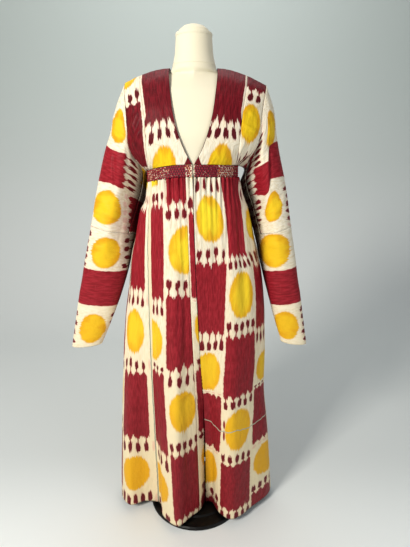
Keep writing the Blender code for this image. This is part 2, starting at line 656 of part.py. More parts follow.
# ---------------------------------------------------------------- objects
def material(finish_name):
    """The material of a finish, made once."""
    if finish_name in bpy.data.materials:
        return bpy.data.materials[finish_name]
    finish = FINISHES[finish_name]
    made = bpy.data.materials.new(finish_name)
    made.use_nodes = True
    shader = made.node_tree.nodes["Principled BSDF"]
    shader.inputs["Base Color"].default_value = (finish.red, finish.green, finish.blue, 1)
    shader.inputs["Roughness"].default_value = finish.roughness
    shader.inputs["Metallic"].default_value = finish.metallic
    return made


def add_part(name, mesh, finish_name, parts, smooth_angle=50):
    """Put a mesh in the parts' collection as one named piece."""
    mesh.materials.append(material(finish_name))
    mesh.shade_smooth()
    mesh.set_sharp_from_angle(angle=math.radians(smooth_angle))
    made = bpy.data.objects.new(name, mesh)
    parts.objects.link(made)
    return made


def turned(name, profile, finish_name, parts, steps=48):
    """A round piece from (radius, height) pairs that run down its outer side."""
    mesh = bpy.data.meshes.new(name)
    points = [(radius * METRES, 0.0, height * METRES) for radius, height in profile]
    mesh.from_pydata(points, [(k, k + 1) for k in range(len(points) - 1)], [])
    made = add_part(name, mesh, finish_name, parts)
    screw = made.modifiers.new("turn", "SCREW")
    screw.steps = steps
    screw.render_steps = steps
    screw.use_merge_vertices = True
    screw.merge_threshold = 0.00005
    screw.use_smooth_shade = True
    return made


def add_stand(parts):
    """The round foot with its raised ring, the pole, and its collar."""
    foot = [
        (0.0, 2.05),
        (6.0, 2.05),
        (10.6, 2.00),
        (11.8, 1.85),
        (12.4, 1.45),
        (14.6, 1.30),
        (15.8, 1.10),
        (16.2, 0.75),
        (BASE_RADIUS, 0.30),
        (BASE_RADIUS - 0.15, 0.0),
        (0.0, 0.0),
    ]
    turned("stand_foot", foot, "stand_enamel", parts, steps=48)
    low = foot[0][1] + SEAM
    high = FORM_BOTTOM - SEAM
    pole = [
        (0.0, high),
        (POLE_RADIUS, high),
        (POLE_RADIUS, low + 5.0),
        (POLE_RADIUS + 0.9, low + 4.6),
        (POLE_RADIUS + 1.1, low + 1.4),
        (POLE_RADIUS + 2.2, low + 0.5),
        (POLE_RADIUS + 2.4, low),
        (0.0, low),
    ]
    turned("stand_pole", pole, "stand_enamel", parts, steps=24)


def add_form(parts):
    """The limbless form, one smooth body up to its neck, and the cap on the neck."""
    turn = np.arange(FORM_COLUMNS) / FORM_COLUMNS * 2 * math.pi
    rings = []
    for girth in FORM:
        power = 2 / girth.power
        x = girth.half * np.sign(np.cos(turn)) * np.abs(np.cos(turn)) ** power
        deep = np.where(np.sin(turn) < 0, girth.front, girth.back)
        y = deep * np.sign(np.sin(turn)) * np.abs(np.sin(turn)) ** power
        height = np.full(FORM_COLUMNS, girth.height)
        rings.append(np.stack([x + girth.mid_x, y + girth.mid_y, height], axis=-1))
    add_part("form_torso", ring_mesh("form_torso", rings), "form_jersey", parts)
    low = NECK_TOP + SEAM
    cap = [(0.0, CAP_TOP), (1.6, CAP_TOP - 0.12), (3.0, CAP_TOP - 0.62), (4.0, CAP_TOP - 1.45)]
    cap += [(4.35, low + 0.95), (4.9, low + 0.85), (5.05, low + 0.55), (5.0, low), (0.0, low)]
    turned("form_neck_cap", cap, "form_jersey", parts, steps=36)


def add_bodice(parts):
    """Two strips a side, each in one length from the front waist to the back waist."""
    over_shoulder = np.linspace(0.0, SHOULDER, ARMHOLE_STEPS + 1)
    down_back = np.linspace(SHOULDER, 1.0, ARMHOLE_STEPS + 1)[1:]
    rows = np.concatenate([over_shoulder, down_back])[:, None]
    # Each strip ends half a seam short of the line that it shares with its neighbour.
    strips = [
        ("centre", 0.0, 1.0 - SEAM / 2 / CENTRE_STRIP, BODICE_CENTRE_COLUMNS),
        ("side", 1.0 + SEAM / 2 / SIDE_STRIP, 2.0, BODICE_SIDE_COLUMNS),
    ]
    for side in ("right", "left"):

        def sheet(across, along, side=side):
            return bodice_sheet(side, across, np.clip(along, 0.0, 1.0))

        for strip, start, end, columns in strips:
            across = np.linspace(start, end, columns + 1)[None, :]
            across, along = np.broadcast_arrays(across, rows)
            out = facing(sheet, across, along, FLIP[side])
            at_waist = ((along == 0.0) | (along == 1.0))[..., None]
            out = np.where(at_waist, levelled(out), out)
            outer = sheet(across, along) - out * bodice_creases(side, across, along)[..., None]
            name = f"bodice_{side}_{strip}_strip"
            mesh = wall_mesh(name, outer, outer - out * CLOTH)
            add_part(name, mesh, "ikat_silk", parts)


def add_band(parts):
    """The smocked band in two lengths that meet at the centre back."""
    heights = np.array([0.0, BAND_HEIGHT / 3, BAND_HEIGHT * 2 / 3, BAND_HEIGHT])
    swells = np.array([0.2, 1.0, 1.0, 0.2])
    rib = np.where(np.arange(GATHERS + 1) % 2 == 0, 0.0, BAND_RIB)
    middle = BAND_LENGTH / 2
    halves = [("right", 0.0, middle - SEAM / 2), ("left", middle + SEAM / 2, BAND_LENGTH)]
    for side, start, end in halves:
        run = np.linspace(start, end, GATHERS + 1)
        place = band_point(run[None, :], heights[:, None])
        angle = band_angle(run)[None, :] + 0 * heights[:, None]
        out = np.stack([-np.sin(angle), -np.cos(angle), 0 * angle], axis=-1)
        swell = (swells[:, None] * rib[None, :])[..., None]
        outer = place + out * swell
        name = f"waistband_{side}"
        add_part(name, wall_mesh(name, outer, place - out * BAND_WALL), "smocked_silk", parts, 30)


def add_skirt(parts):
    """Six panels, gathered into the band and falling in folds to the hem."""
    back_left = HEM_LENGTH - FRONT_LEFT
    seams = [0.0, EDGE_STRIP, EDGE_STRIP + FRONT_RIGHT]
    seams += [seams[-1] + LOOM_WIDTH, back_left - LOOM_WIDTH, back_left, HEM_LENGTH]
    names = ["edge_strip", "front_right", "side_right", "back", "side_left", "front_left"]
    band = np.linspace(0, BAND_LENGTH, GATHERS * 2 + 1)
    cloth_of_band = np.interp(band, BAND_RUN_FINE, CLOTH_RUN_FINE)
    downs = np.array([0.0] + [height_share(height) for height in SKIRT_HEIGHTS] + [1.0])

    def sheet(steps, down):
        cloth = np.clip(steps * CLOTH_STEP, 0.0, HEM_LENGTH)
        return skirt_sheet(cloth, np.clip(down, 0.0, 1.0))

    for name, start, end in zip(names, seams, seams[1:]):
        inside = cloth_of_band[(cloth_of_band > start + 0.5) & (cloth_of_band < end - 0.5)]
        first = start + (SEAM / 2 if start > 0 else 0.0)
        last = end - (SEAM / 2 if end < HEM_LENGTH else 0.0)
        cloth = np.concatenate([[first], inside, [last]])
        cloth, down = np.broadcast_arrays(cloth[None, :], downs[:, None])
        out = facing(sheet, cloth / CLOTH_STEP, down)
        out = np.where((down == 0)[..., None], levelled(out), out)
        outer = skirt_sheet(cloth, down) + out * gather_depth(cloth, down)[..., None]
        mesh = wall_mesh(f"skirt_{name}", outer, outer - out * CLOTH)
        add_part(f"skirt_{name}", mesh, "ikat_silk_skirt", parts)


def add_sleeves(parts):
    """Each sleeve: an upper strip, the gusset that closes it inside, and a lower strip."""
    gap = SEAM / 2 / SLEEVE_LENGTH
    turn_gap = SEAM / 2 / SLEEVE_ROUND
    full = np.arange(SLEEVE_COLUMNS) / SLEEVE_COLUMNS
    gusset = np.arange(GUSSET_FIRST, GUSSET_LAST + 1) / SLEEVE_COLUMNS
    rest = np.arange(GUSSET_LAST, SLEEVE_COLUMNS + GUSSET_FIRST + 1) / SLEEVE_COLUMNS
    gusset = gusset + np.linspace(turn_gap, -turn_gap, len(gusset))
    rest = rest + np.linspace(turn_gap, -turn_gap, len(rest))
    for side in ("right", "left"):

        def sheet(turn, down, side=side):
            return sleeve_sheet(side, turn, np.clip(down, 0.0, 1.0))

        seam = STRIP_SEAM[side]
        upper = np.linspace(0.0, seam - gap, SLEEVE_UPPER_ROWS + 1)
        lower = np.linspace(seam + gap, 1.0, SLEEVE_LOWER_ROWS + 1)
        pieces = [
            (f"sleeve_{side}_upper", rest, upper, False),
            (f"sleeve_{side}_gusset", gusset, upper, False),
            (f"sleeve_{side}_lower", full, lower, True),
        ]
        for name, turns, downs, closed in pieces:
            turn, down = np.broadcast_arrays(turns[None, :], downs[:, None])
            out = facing(sheet, turn, down, FLIP[side])
            if downs[0] == 0.0:
                beside_bodice = np.abs(turns % 1.0 - 0.5) > 0.5 / SLEEVE_COLUMNS
                start = armhole_facing(side, turns)
                out[0] = np.where(beside_bodice[:, None], start, out[0])
            outer = sheet(turn, down)
            mesh = wall_mesh(name, outer, outer - out * CLOTH, closed)
            add_part(name, mesh, "ikat_silk", parts)


def main():
    for old in list(bpy.data.objects):
        bpy.data.objects.remove(old, do_unlink=True)
    parts = bpy.data.collections.new(NAME)
    bpy.context.scene.collection.children.link(parts)
    add_stand(parts)
    add_form(parts)
    add_bodice(parts)
    add_band(parts)
    add_skirt(parts)
    add_sleeves(parts)


main()
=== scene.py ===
"""Looks of a gathered ikat robe that hangs on a limbless dress form.

The silk is built again as fine sheets on the same sections as the solids, with the
gathers, creases and puckers that are too fine for them. One woven ikat repeat runs
through every piece. The tables are in centimetres and become metres when a mesh is
made. The robe's front faces -Y and the wearer's right side lies at -X.
"""

import itertools
import math
from collections import namedtuple
from functools import partial

import bpy
import numpy as np
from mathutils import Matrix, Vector


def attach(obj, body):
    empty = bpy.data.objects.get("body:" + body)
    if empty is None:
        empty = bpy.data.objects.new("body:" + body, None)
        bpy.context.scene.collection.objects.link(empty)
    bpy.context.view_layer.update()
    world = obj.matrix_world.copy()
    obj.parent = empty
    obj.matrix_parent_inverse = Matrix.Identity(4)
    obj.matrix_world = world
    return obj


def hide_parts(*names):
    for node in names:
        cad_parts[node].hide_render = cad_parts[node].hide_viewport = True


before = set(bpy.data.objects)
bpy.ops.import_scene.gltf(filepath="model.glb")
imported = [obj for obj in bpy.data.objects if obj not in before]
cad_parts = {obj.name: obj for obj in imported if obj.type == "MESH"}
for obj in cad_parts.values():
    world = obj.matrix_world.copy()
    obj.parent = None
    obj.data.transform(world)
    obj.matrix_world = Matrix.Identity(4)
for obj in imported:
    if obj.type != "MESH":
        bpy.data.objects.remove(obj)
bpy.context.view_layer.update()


METRES = 0.01  # one centimetre

# ---------------------------------------------------------------- sizes, in centimetres
SILK_WALL = 0.09  # thickness of the silk's sheets
BAND_WALL = 0.12  # thickness of the smocked band's sheet
SEAM = 0.03  # gap between two pieces that are sewn edge to edge
GATHERS = 54  # gathers of the skirt round the waist

WAIST_X = -0.6  # centre of the waist
WAIST_Y = -1.0
WAIST_HALF_WIDTH = 13.1
WAIST_DEPTH = 10.9
BAND_BOTTOM = 113.1
BAND_HEIGHT = 3.2
BAND_OPENING = 0.28  # half of the gap between the band's two front ends
OPENING_X = -0.15  # where the front opening lies at the waist
ARMHOLE_GAP = 0.05  # between the bodice and the head of a sleeve
CLOSED_GAP = 0.10  # between the skirt's two front edges
BAND_RIB = 0.13  # how far a smocked rib stands out
BAND_DIP_RIGHT = 1.8  # how much lower the band sits at the wearer's right side
BAND_DIP_LEFT = 0.3
DIP_FADE = 9.0  # height above the band over which its dip dies away
BAND_TOP = BAND_BOTTOM + BAND_HEIGHT + SEAM  # where the bodice's lower edge sits

HEM_HEIGHT = 2.5
SKIRT_LENGTH = BAND_BOTTOM - HEM_HEIGHT
GATHER_DEPTH = 0.30
GATHER_REACH = 9.0  # how far down the gathers run before they fade
REACH_WAVES = (4.0, 2.5)  # how much longer or shorter that is from one gather to the next
EDGE_STRIP = 4.2  # width of the narrow strip down the right front edge
LOOM_WIDTH = 34.5  # full width of the woven cloth
FRONT_RIGHT = 23.0  # the right front is two thirds of a loom width
FRONT_LEFT = 32.5

FORM_BOTTOM = 74.0
NECK_SEAM = 142.6  # height of the seam round the form's neck
NECK_SEAM_ROLL = 0.07
NECK_TOP = 149.6

# ---------------------------------------------------------------- tables, in centimetres
# One row for each section of the bodice, from the front waist over the shoulder to the
# back waist. edge, seam and arm are distances from the middle to the strip's inner edge,
# to the seam between the centre and the side strip, and to the armhole.
Section = namedtuple("Section", "name edge_z arm_z mid_x mid_y half depth power edge seam arm")
BODICE = [
    Section("front waist", BAND_TOP, BAND_TOP, WAIST_X, WAIST_Y, 13.10, -10.90, 2.0, 0.25, 12.20, 12.95),
    Section("under bust", 119.00, 118.00, -0.5, -0.5, 15.90, -11.90, 2.2, 1.80, 12.30, 15.00),
    Section("bust", 124.30, 122.50, -0.2, 0.0, 20.30, -12.90, 2.5, 3.90, 12.50, 17.70),
    Section("chest", 130.00, 128.00, 0.0, 0.0, 20.60, -11.40, 2.5, 5.30, 13.00, 18.20),
    Section("upper chest", 135.00, 132.60, 0.0, 0.0, 21.00, -8.60, 2.6, 6.00, 13.80, 18.60),
    Section("collar bone", 139.60, 136.40, 0.0, 0.0, 23.00, -4.60, 3.0, 6.50, 14.50, 18.90),
    Section("shoulder", 142.00, 138.30, 0.0, 0.3, 25.00, 0.00, 3.0, 6.60, 14.80, 19.10),
    Section("nape side", 140.90, 137.00, 0.0, 0.0, 23.00, 4.30, 3.0, 5.60, 14.60, 19.00),
    Section("nape", 139.30, 134.60, 0.0, 0.0, 21.00, 6.60, 2.6, 0.40, 14.20, 18.80),
    Section("shoulder blade", 134.00, 130.50, 0.0, 0.0, 20.80, 8.60, 2.5, 0.02, 13.60, 18.40),
    Section("mid back", 127.00, 124.50, -0.1, 0.0, 20.40, 9.60, 2.5, 0.02, 13.00, 17.60),
    Section("small of back", 120.50, 119.00, -0.4, -0.5, 16.60, 9.90, 2.2, 0.02, 12.40, 14.70),
    Section("back waist", BAND_TOP, BAND_TOP, WAIST_X, WAIST_Y, 13.10, 10.90, 2.0, 0.02, 12.20, 12.95),
]
SHOULDER_BOW = 1.6  # the shoulder line falls faster towards the arm
# The left shoulder hangs a little wider and lower than the right.
ARM_WIDER = {"right": 0.0, "left": 0.9}
ARM_DROP = {"right": 0.0, "left": 0.7}
SHOULDER_REACH = 0.16  # share of the strip's length on each side that this reaches
CENTRE_STRIP = 11.5  # width of the centre strip, a third of the loom's
SIDE_STRIP = 5.0

# One row for each station of a sleeve below its armhole. The outer and inner edges are
# measured out from the middle, front and back are the sleeve's fullness, web is how far
# the inner front folds back towards the underarm, and laid is how far the inner fold lies
# back behind the skirt.
Station = namedtuple("Station", "name outer_x outer_z inner_x inner_z mid_y front back web laid")
SLEEVE_LENGTH = 90.0  # about the length of a sleeve from shoulder to cuff
SLEEVE_ROUND = 36.0  # about the cloth that goes round it
WEB_START = -0.15  # where the fold to the underarm starts, from -1 outside to 1 inside
WEB_FULL = 0.70
LAID_START = 0.45  # the part of the round that lies back, on the same scale
UNDERARM_OUT = 0.32  # from the top of the band to the tip of the gusset
UNDERARM_UP = 0.16
SLEEVES = {
    "right": [
        Station("sleeve head", 21.7, 132.0, 14.4, 113.9, 0.0, 7.0, 6.3, 0.35, 0.8),
        Station("upper arm", 24.0, 124.6, 13.9, 110.8, 0.0, 6.5, 6.3, 0.75, 3.0),
        Station("gusset middle", 25.8, 119.8, 14.5, 107.4, 0.0, 6.0, 6.2, 0.95, 3.5),
        Station("above elbow", 28.1, 111.6, 15.9, 102.9, 0.0, 5.2, 5.8, 0.95, 3.5),
        Station("strip seam", 31.2, 98.6, 18.35, 95.6, -0.2, 4.6, 5.0, 0.55, 2.4),
        Station("forearm", 34.6, 84.4, 21.3, 83.2, -0.5, 4.0, 4.2, 0.15, 0.6),
        Station("lower forearm", 37.2, 73.0, 25.3, 72.2, -0.9, 3.2, 3.3, 0.00, 0.0),
        Station("cuff", 40.0, 59.2, 30.4, 60.3, -1.2, 2.3, 2.3, 0.00, 0.0),
    ],
    "left": [
        Station("sleeve head", 22.1, 131.4, 14.7, 115.0, 0.0, 7.0, 6.3, 0.35, 1.2),
        Station("upper arm", 23.3, 124.6, 13.7, 110.8, 0.0, 6.4, 6.3, 0.75, 3.0),
        Station("gusset middle", 24.4, 119.4, 14.5, 107.2, 0.0, 5.8, 6.2, 0.95, 3.5),
        Station("above elbow", 26.2, 112.0, 16.1, 102.8, 0.0, 5.2, 5.8, 0.95, 3.5),
        Station("strip seam", 28.8, 98.4, 18.3, 95.4, -0.2, 4.6, 5.0, 0.55, 2.5),
        Station("forearm", 31.2, 85.0, 21.0, 83.6, -0.5, 3.9, 4.1, 0.15, 0.8),
        Station("lower forearm", 33.3, 74.0, 24.0, 72.8, -0.9, 3.1, 3.3, 0.00, 0.0),
        Station("cuff", 35.7, 60.2, 27.7, 61.0, -1.2, 2.2, 2.2, 0.00, 0.0),
    ],
}

# One row for each fold of the hem, from the right front edge round the back to the left
# front edge. A crest stands out, a hollow lies back.
Fold = namedtuple("Fold", "name x y")
HEM = [
    Fold("right front edge", 3.0, -6.6),
    Fold("right front turn", 1.3, -10.2),
    Fold("right front slope", -2.0, -13.5),
    Fold("right front crest", -6.0, -17.0),
    Fold("right crest's side", -11.1, -12.6),
    Fold("right hollow", -12.6, -7.4),
    Fold("right side slope", -17.5, -6.4),
    Fold("right side crest", -22.9, -8.0),
    Fold("right side", -26.6, -2.6),
    Fold("right back crest", -26.2, 4.6),
    Fold("right back hollow", -21.5, 8.2),
    Fold("back crest 1", -16.5, 15.4),
    Fold("back hollow 1", -10.8, 14.2),
    Fold("back crest 2", -2.5, 19.0),
    Fold("back hollow 2", 5.5, 15.2),
    Fold("back crest 3", 13.5, 17.6),
    Fold("back hollow 3", 18.4, 10.6),
    Fold("left back crest", 25.4, 5.8),
    Fold("left side", 26.3, -1.6),
    Fold("left side slope", 18.4, -9.4),
    Fold("left front crest", 12.2, -13.9),
    Fold("left crest's side", 8.0, -11.6),
    Fold("left front hollow", 5.7, -7.0),
    Fold("left front edge", 3.25, -6.5),
]

# One row for each height of the skirt: how much of the hem's place it has on the right, in
# the middle of the front and on the left, and how much of the folds' depth.
Flare = namedtuple("Flare", "height right middle left folds")
FLARES = [
    Flare(113.0, 0.00, 0.00, 0.00, 0.00),
    Flare(108.0, 0.12, 0.00, 0.17, 0.01),
    Flare(104.0, 0.325, 0.02, 0.35, 0.02),
    Flare(100.0, 0.405, 0.05, 0.445, 0.035),
    Flare(96.0, 0.49, 0.08, 0.515, 0.05),
    Flare(90.0, 0.62, 0.13, 0.65, 0.08),
    Flare(82.0, 0.69, 0.20, 0.77, 0.13),
    Flare(70.0, 0.83, 0.33, 0.845, 0.22),
    Flare(58.0, 0.90, 0.50, 0.845, 0.34),
    Flare(44.0, 0.94, 0.74, 0.81, 0.52),
    Flare(28.0, 0.98, 0.92, 0.905, 0.74),
    Flare(13.0, 0.99, 0.98, 0.965, 0.92),
    Flare(HEM_HEIGHT, 1.00, 1.00, 1.00, 1.00),
]
SIDE_BLEND = 14.0  # half of the width over which the right flare turns into the left
CLOSING_LENGTH = 3.0  # how soon below the band the front edges come together
CLOSING_WIDTH = 2.5  # how much cloth beside each front edge moves with it
MIDDLE_REACH = 9.0  # how far from the front opening the middle's flare is felt

# How the skirt's cloth is shared out along the band: cloth from the nearer front edge,
# and band from the same edge.
Share = namedtuple("Share", "side cloth band")
GATHERING = [
    Share("right", 0.0, 0.0),
    Share("right", 4.2, 1.8),
    Share("right", 15.7, 7.2),
    Share("right", 27.2, 14.4),
    Share("right", 61.7, 30.5),
    Share("left", 56.0, 30.5),
    Share("left", 32.5, 21.5),
    Share("left", 21.0, 14.6),
    Share("left", 9.5, 7.8),
    Share("left", 0.0, 0.0),
]

# The largest creases of the bodice: soft troughs between two places on the strips, given
# as (across, along) where across is 0 at the neck edge, 1 at the seam and 2 at the arm.
Crease = namedtuple("Crease", "side across_0 along_0 across_1 along_1 width depth")
CREASES = [
    Crease("right", 1.75, 0.40, 1.20, 0.05, 1.3, 0.55),
    Crease("right", 1.30, 0.30, 1.05, 0.08, 1.0, 0.30),
    Crease("left", 1.80, 0.30, 0.85, 0.05, 1.3, 0.50),
    Crease("left", 1.10, 0.22, 0.60, 0.02, 0.9, 0.25),
    Crease("right", 1.70, 0.62, 1.15, 0.93, 1.3, 0.45),
    Crease("left", 1.70, 0.62, 1.10, 0.92, 1.3, 0.45),
]

ARMHOLE_CALM = 0.4  # share of the side strip that stays smooth beside the armhole

# The dress form from its underside to the top of its neck.
Girth = namedtuple("Girth", "name height mid_x mid_y half front back power")
FORM = [
    Girth("underside", FORM_BOTTOM, 0.0, 0.6, 13.6, 8.8, 9.6, 2.2),
    Girth("lower edge", 75.2, 0.0, 0.6, 14.9, 9.7, 10.6, 2.2),
    Girth("seat", 82.0, 0.0, 0.6, 15.8, 10.2, 11.6, 2.2),
    Girth("hips", 90.0, -0.1, 0.4, 15.6, 10.1, 11.4, 2.2),
    Girth("high hips", 98.0, -0.3, 0.0, 14.2, 9.9, 10.8, 2.1),
    Girth("belly", 104.0, -0.5, -0.5, 13.0, 9.8, 10.2, 2.0),
    Girth("waist low", 109.5, -0.6, -1.0, 12.30, 10.00, 10.00, 2.0),
    Girth("under band", 112.8, -0.6, -1.0, 12.40, 10.15, 10.15, 2.0),
    Girth("band seat", 114.0, -0.6, -1.0, 12.81, 10.61, 10.61, 2.0),
    Girth("waist", 115.2, -0.6, -1.0, 12.70, 10.50, 10.50, 2.0),
    Girth("waist top", 116.5, -0.6, -1.0, 12.66, 10.45, 10.45, 2.0),
    Girth("ribs", 119.0, -0.5, -0.6, 14.1, 11.0, 9.6, 2.1),
    Girth("bust", 124.3, -0.2, 0.0, 16.4, 12.4, 9.1, 2.3),
    Girth("chest", 130.0, 0.0, 0.0, 16.6, 11.0, 8.6, 2.2),
    Girth("upper chest", 135.0, 0.0, 0.0, 16.4, 8.7, 7.6, 1.9),
    Girth("shoulder tip", 137.0, 0.0, 0.1, 16.0, 7.2, 6.8, 1.6),
    Girth("shoulder", 139.0, 0.0, 0.2, 13.6, 5.8, 5.6, 1.3),
    Girth("shoulder top", 140.2, 0.0, 0.3, 9.7, 5.3, 5.1, 1.15),
    Girth("neck base", 141.3, 0.0, 0.2, 6.35, 5.5, 5.0, 1.9),
    Girth("neck low", 142.8, 0.0, 0.1, 5.85, 5.4, 5.1, 2.0),
    Girth("neck", 145.6, 0.0, 0.0, 5.25, 5.15, 5.05, 2.0),
    Girth("neck top", NECK_TOP, 0.0, 0.0, 4.95, 4.95, 4.95, 2.0),
]

# ---------------------------------------------------------------- the robe's form
SLEEVE_COLUMNS = 24  # columns in a sleeve's whole round, from the shoulder's line forwards
GUSSET_FIRST = 9  # the gusset lies between these two columns
GUSSET_LAST = 15
ARMHOLE_REACH = 11 / SLEEVE_COLUMNS  # share of the round from the shoulder to the front waist
SPLINE_STEPS = 24
HEM_POINTS = 721
BAND_POINTS = 1441
CLOTH_STEP = 10.0  # cloth of the skirt that counts as one step where its slope is measured
FLIP = {"right": -1.0, "left": 1.0}  # turns a mirrored sheet's facing outwards


def through(places, values, at):
    """Smooth value at each place of a curve through the values that never overshoots."""
    places = np.asarray(places, float)
    values = np.asarray(values, float)
    steps = np.diff(places)
    slopes = np.diff(values) / steps
    inner = np.zeros(len(slopes) - 1)
    same_way = slopes[:-1] * slopes[1:] > 0
    product = 2 * slopes[:-1] * slopes[1:]
    inner[same_way] = product[same_way] / (slopes[:-1] + slopes[1:])[same_way]
    ends = np.concatenate([[slopes[0]], inner, [slopes[-1]]])
    at = np.clip(np.asarray(at, float), places[0], places[-1])
    span = np.clip(np.searchsorted(places, at) - 1, 0, len(steps) - 1)
    t = (at - places[span]) / steps[span]
    rise = values[span] * (2 * t**3 - 3 * t**2 + 1) + values[span + 1] * (3 * t**2 - 2 * t**3)
    lean = ends[span] * (t**3 - 2 * t**2 + t) + ends[span + 1] * (t**3 - t**2)
    return rise + lean * steps[span]


def column(table, name):
    """One named column of a table."""
    return [getattr(row, name) for row in table]


def running_length(points):
    """Distance from the first point to each point of a line."""
    legs = np.linalg.norm(np.diff(points, axis=0), axis=1)
    return np.concatenate([[0.0], np.cumsum(legs)])


def spline(points, count):
    """Evenly spaced points on a smooth open curve through the given ones."""
    points = np.asarray(points, float)
    padded = np.vstack([2 * points[0] - points[1], points, 2 * points[-1] - points[-2]])
    t = np.linspace(0, 1, SPLINE_STEPS, endpoint=False)[:, None]
    stretches = []
    for a, b, c, d in zip(padded, padded[1:], padded[2:], padded[3:]):
        curve = 2 * b + (c - a) * t + (2 * a - 5 * b + 4 * c - d) * t**2
        stretches.append(0.5 * (curve + (3 * b - a - 3 * c + d) * t**3))
    line = np.vstack(stretches + [points[-1:]])
    run = running_length(line)
    even = np.linspace(0, run[-1], count)
    return np.stack([np.interp(even, run, line[:, k]) for k in range(points.shape[1])], axis=1)


def ease(x):
    """0 below 0, 1 above 1, and a smooth step between."""
    x = np.clip(x, 0.0, 1.0)
    return x * x * (3 - 2 * x)


def oval(x, half, power):
    """Depth of a rounded section at x, as a share of its depth in the middle."""
    inside = np.clip(1 - np.abs(x / half) ** power, 0.0, 1.0)
    return inside ** (1 / power)


# ---------------------------------------------------------------- waist and bodice
def waist_dip(x):
    """How far the waist line lies below its height in the middle."""
    off = np.clip((np.asarray(x) - WAIST_X) / WAIST_HALF_WIDTH, -1.0, 1.0)
    return np.where(off < 0, BAND_DIP_RIGHT, BAND_DIP_LEFT) * off**2


def bodice_places():
    """Where each section lies along the seam, from 0 at the front waist to 1 behind."""
    rail = []
    for row in BODICE:
        y = row.mid_y + row.depth * oval(row.seam, row.half, row.power)
        rail.append((row.seam, y, (row.edge_z + row.arm_z) / 2))
    run = running_length(np.array(rail))
    return run / run[-1]


PLACES = bodice_places()
SHOULDER = PLACES[column(BODICE, "name").index("shoulder")]


def bodice_sheet(side, across, along):
    """Points of the bodice's outer face. across runs 0, 1, 2: neck edge, seam, armhole."""
    sign = -1 if side == "right" else 1
    row = {}
    for name in Section._fields[1:]:
        row[name] = through(PLACES, column(BODICE, name), along)
    near_shoulder = np.exp(-(((along - SHOULDER) / SHOULDER_REACH) ** 2))
    row["arm"] = row["arm"] + ARM_WIDER[side] * near_shoulder
    row["arm_z"] = row["arm_z"] - ARM_DROP[side] * near_shoulder
    x = row["edge"] + np.clip(across, 0.0, 1.0) * (row["seam"] - row["edge"])
    x = np.where(across > 1, row["seam"] + (across - 1) * (row["arm"] - row["seam"]), x)
    share = (x - row["edge"]) / (row["arm"] - row["edge"])
    z = row["edge_z"] + (row["arm_z"] - row["edge_z"]) * share**SHOULDER_BOW
    y = row["mid_y"] + row["depth"] * oval(x, row["half"], row["power"])
    x = OPENING_X + (row["mid_x"] - OPENING_X) * share + sign * x
    near_waist = np.clip(1 - (z - BAND_BOTTOM - BAND_HEIGHT) / DIP_FADE, 0.0, 1.0)
    return np.stack([x, y, z - waist_dip(x) * near_waist], axis=-1)


def held_bodice(side, across, along):
    """The bodice's sheet, which stays at the waist beyond its ends."""
    return bodice_sheet(side, across, np.clip(along, 0.0, 1.0))


def bodice_creases(side, across, along):
    """How far the creases press the bodice in, in centimetres."""
    press = np.zeros(np.broadcast(across, along).shape)
    clear_of_armhole = ease((2.0 - across) / ARMHOLE_CALM)
    points = bodice_sheet(side, across, along)
    for crease in CREASES:
        if crease.side != side:
            continue
        ends = bodice_sheet(
            side,
            np.array([crease.across_0, crease.across_1]),
            np.array([crease.along_0, crease.along_1]),
        )
        run = ends[1] - ends[0]
        t = ((points - ends[0]) @ run) / (run @ run)
        off = np.linalg.norm(points - ends[0] - np.clip(t, 0, 1)[..., None] * run, axis=-1)
        fade = np.clip(np.sin(np.pi * np.clip(t, 0.0, 1.0)), 0.0, 1.0)
        press += crease.depth * fade * np.exp(-((off / crease.width) ** 2))
    return press * clear_of_armhole


# ---------------------------------------------------------------- waistband
def band_point(run, z_up):
    """A point of the band's smooth face, run centimetres from the right front end."""
    run, z_up = np.broadcast_arrays(run, z_up)
    angle = band_angle(run)
    x = WAIST_X - WAIST_HALF_WIDTH * np.sin(angle)
    y = WAIST_Y - WAIST_DEPTH * np.cos(angle)
    return np.stack([x, y, BAND_BOTTOM - waist_dip(x) + z_up], axis=-1)


def band_table():
    """Angle round the waist for each length of band, from one front end to the other."""
    angle = np.linspace(0, 2 * math.pi, BAND_POINTS)
    ring = np.stack([WAIST_HALF_WIDTH * np.sin(angle), WAIST_DEPTH * np.cos(angle)], axis=1)
    run = running_length(ring)
    start = np.interp(BAND_OPENING, run, angle)
    keep = (angle >= start) & (angle <= 2 * math.pi - start)
    opening = math.asin((WAIST_X - OPENING_X) / WAIST_HALF_WIDTH)
    return run[keep] - run[keep][0], angle[keep] + opening


BAND_RUNS, BAND_ANGLES = band_table()
BAND_LENGTH = BAND_RUNS[-1]


def band_angle(run):
    """Angle round the waist at a length of band."""
    return np.interp(run, BAND_RUNS, BAND_ANGLES)


# ---------------------------------------------------------------- skirt
HEM_LINE = spline([(fold.x, fold.y) for fold in HEM], HEM_POINTS)
HEM_LENGTH = running_length(HEM_LINE)[-1]
HEM_RUN = np.linspace(0, HEM_LENGTH, len(HEM_LINE))
SOFTNESS = 9.0  # centimetres of hem over which the folds are evened out


def evened_hem():
    """The hem's line with its folds smoothed away."""
    loop = HEM_LINE[:-1]
    count = len(loop)
    step = HEM_LENGTH / count
    away = np.minimum(np.arange(count), count - np.arange(count)) * step
    weight = np.exp(-0.5 * (away / SOFTNESS) ** 2)
    weight /= weight.sum()
    turned = np.fft.fft(weight)
    even = [np.real(np.fft.ifft(np.fft.fft(loop[:, k]) * turned)) for k in range(2)]
    even = np.stack(even, axis=1)
    return np.vstack([even, even[:1]])


EVEN_HEM = evened_hem()


def gathering_table():
    """Cloth and band lengths, both counted from the right front edge."""
    cloth = []
    band = []
    for share in GATHERING:
        from_right = share.side == "right"
        cloth.append(share.cloth if from_right else HEM_LENGTH - share.cloth)
        band.append(share.band if from_right else BAND_LENGTH - share.band)
    return cloth, band


CLOTH_RUN, BAND_RUN = gathering_table()


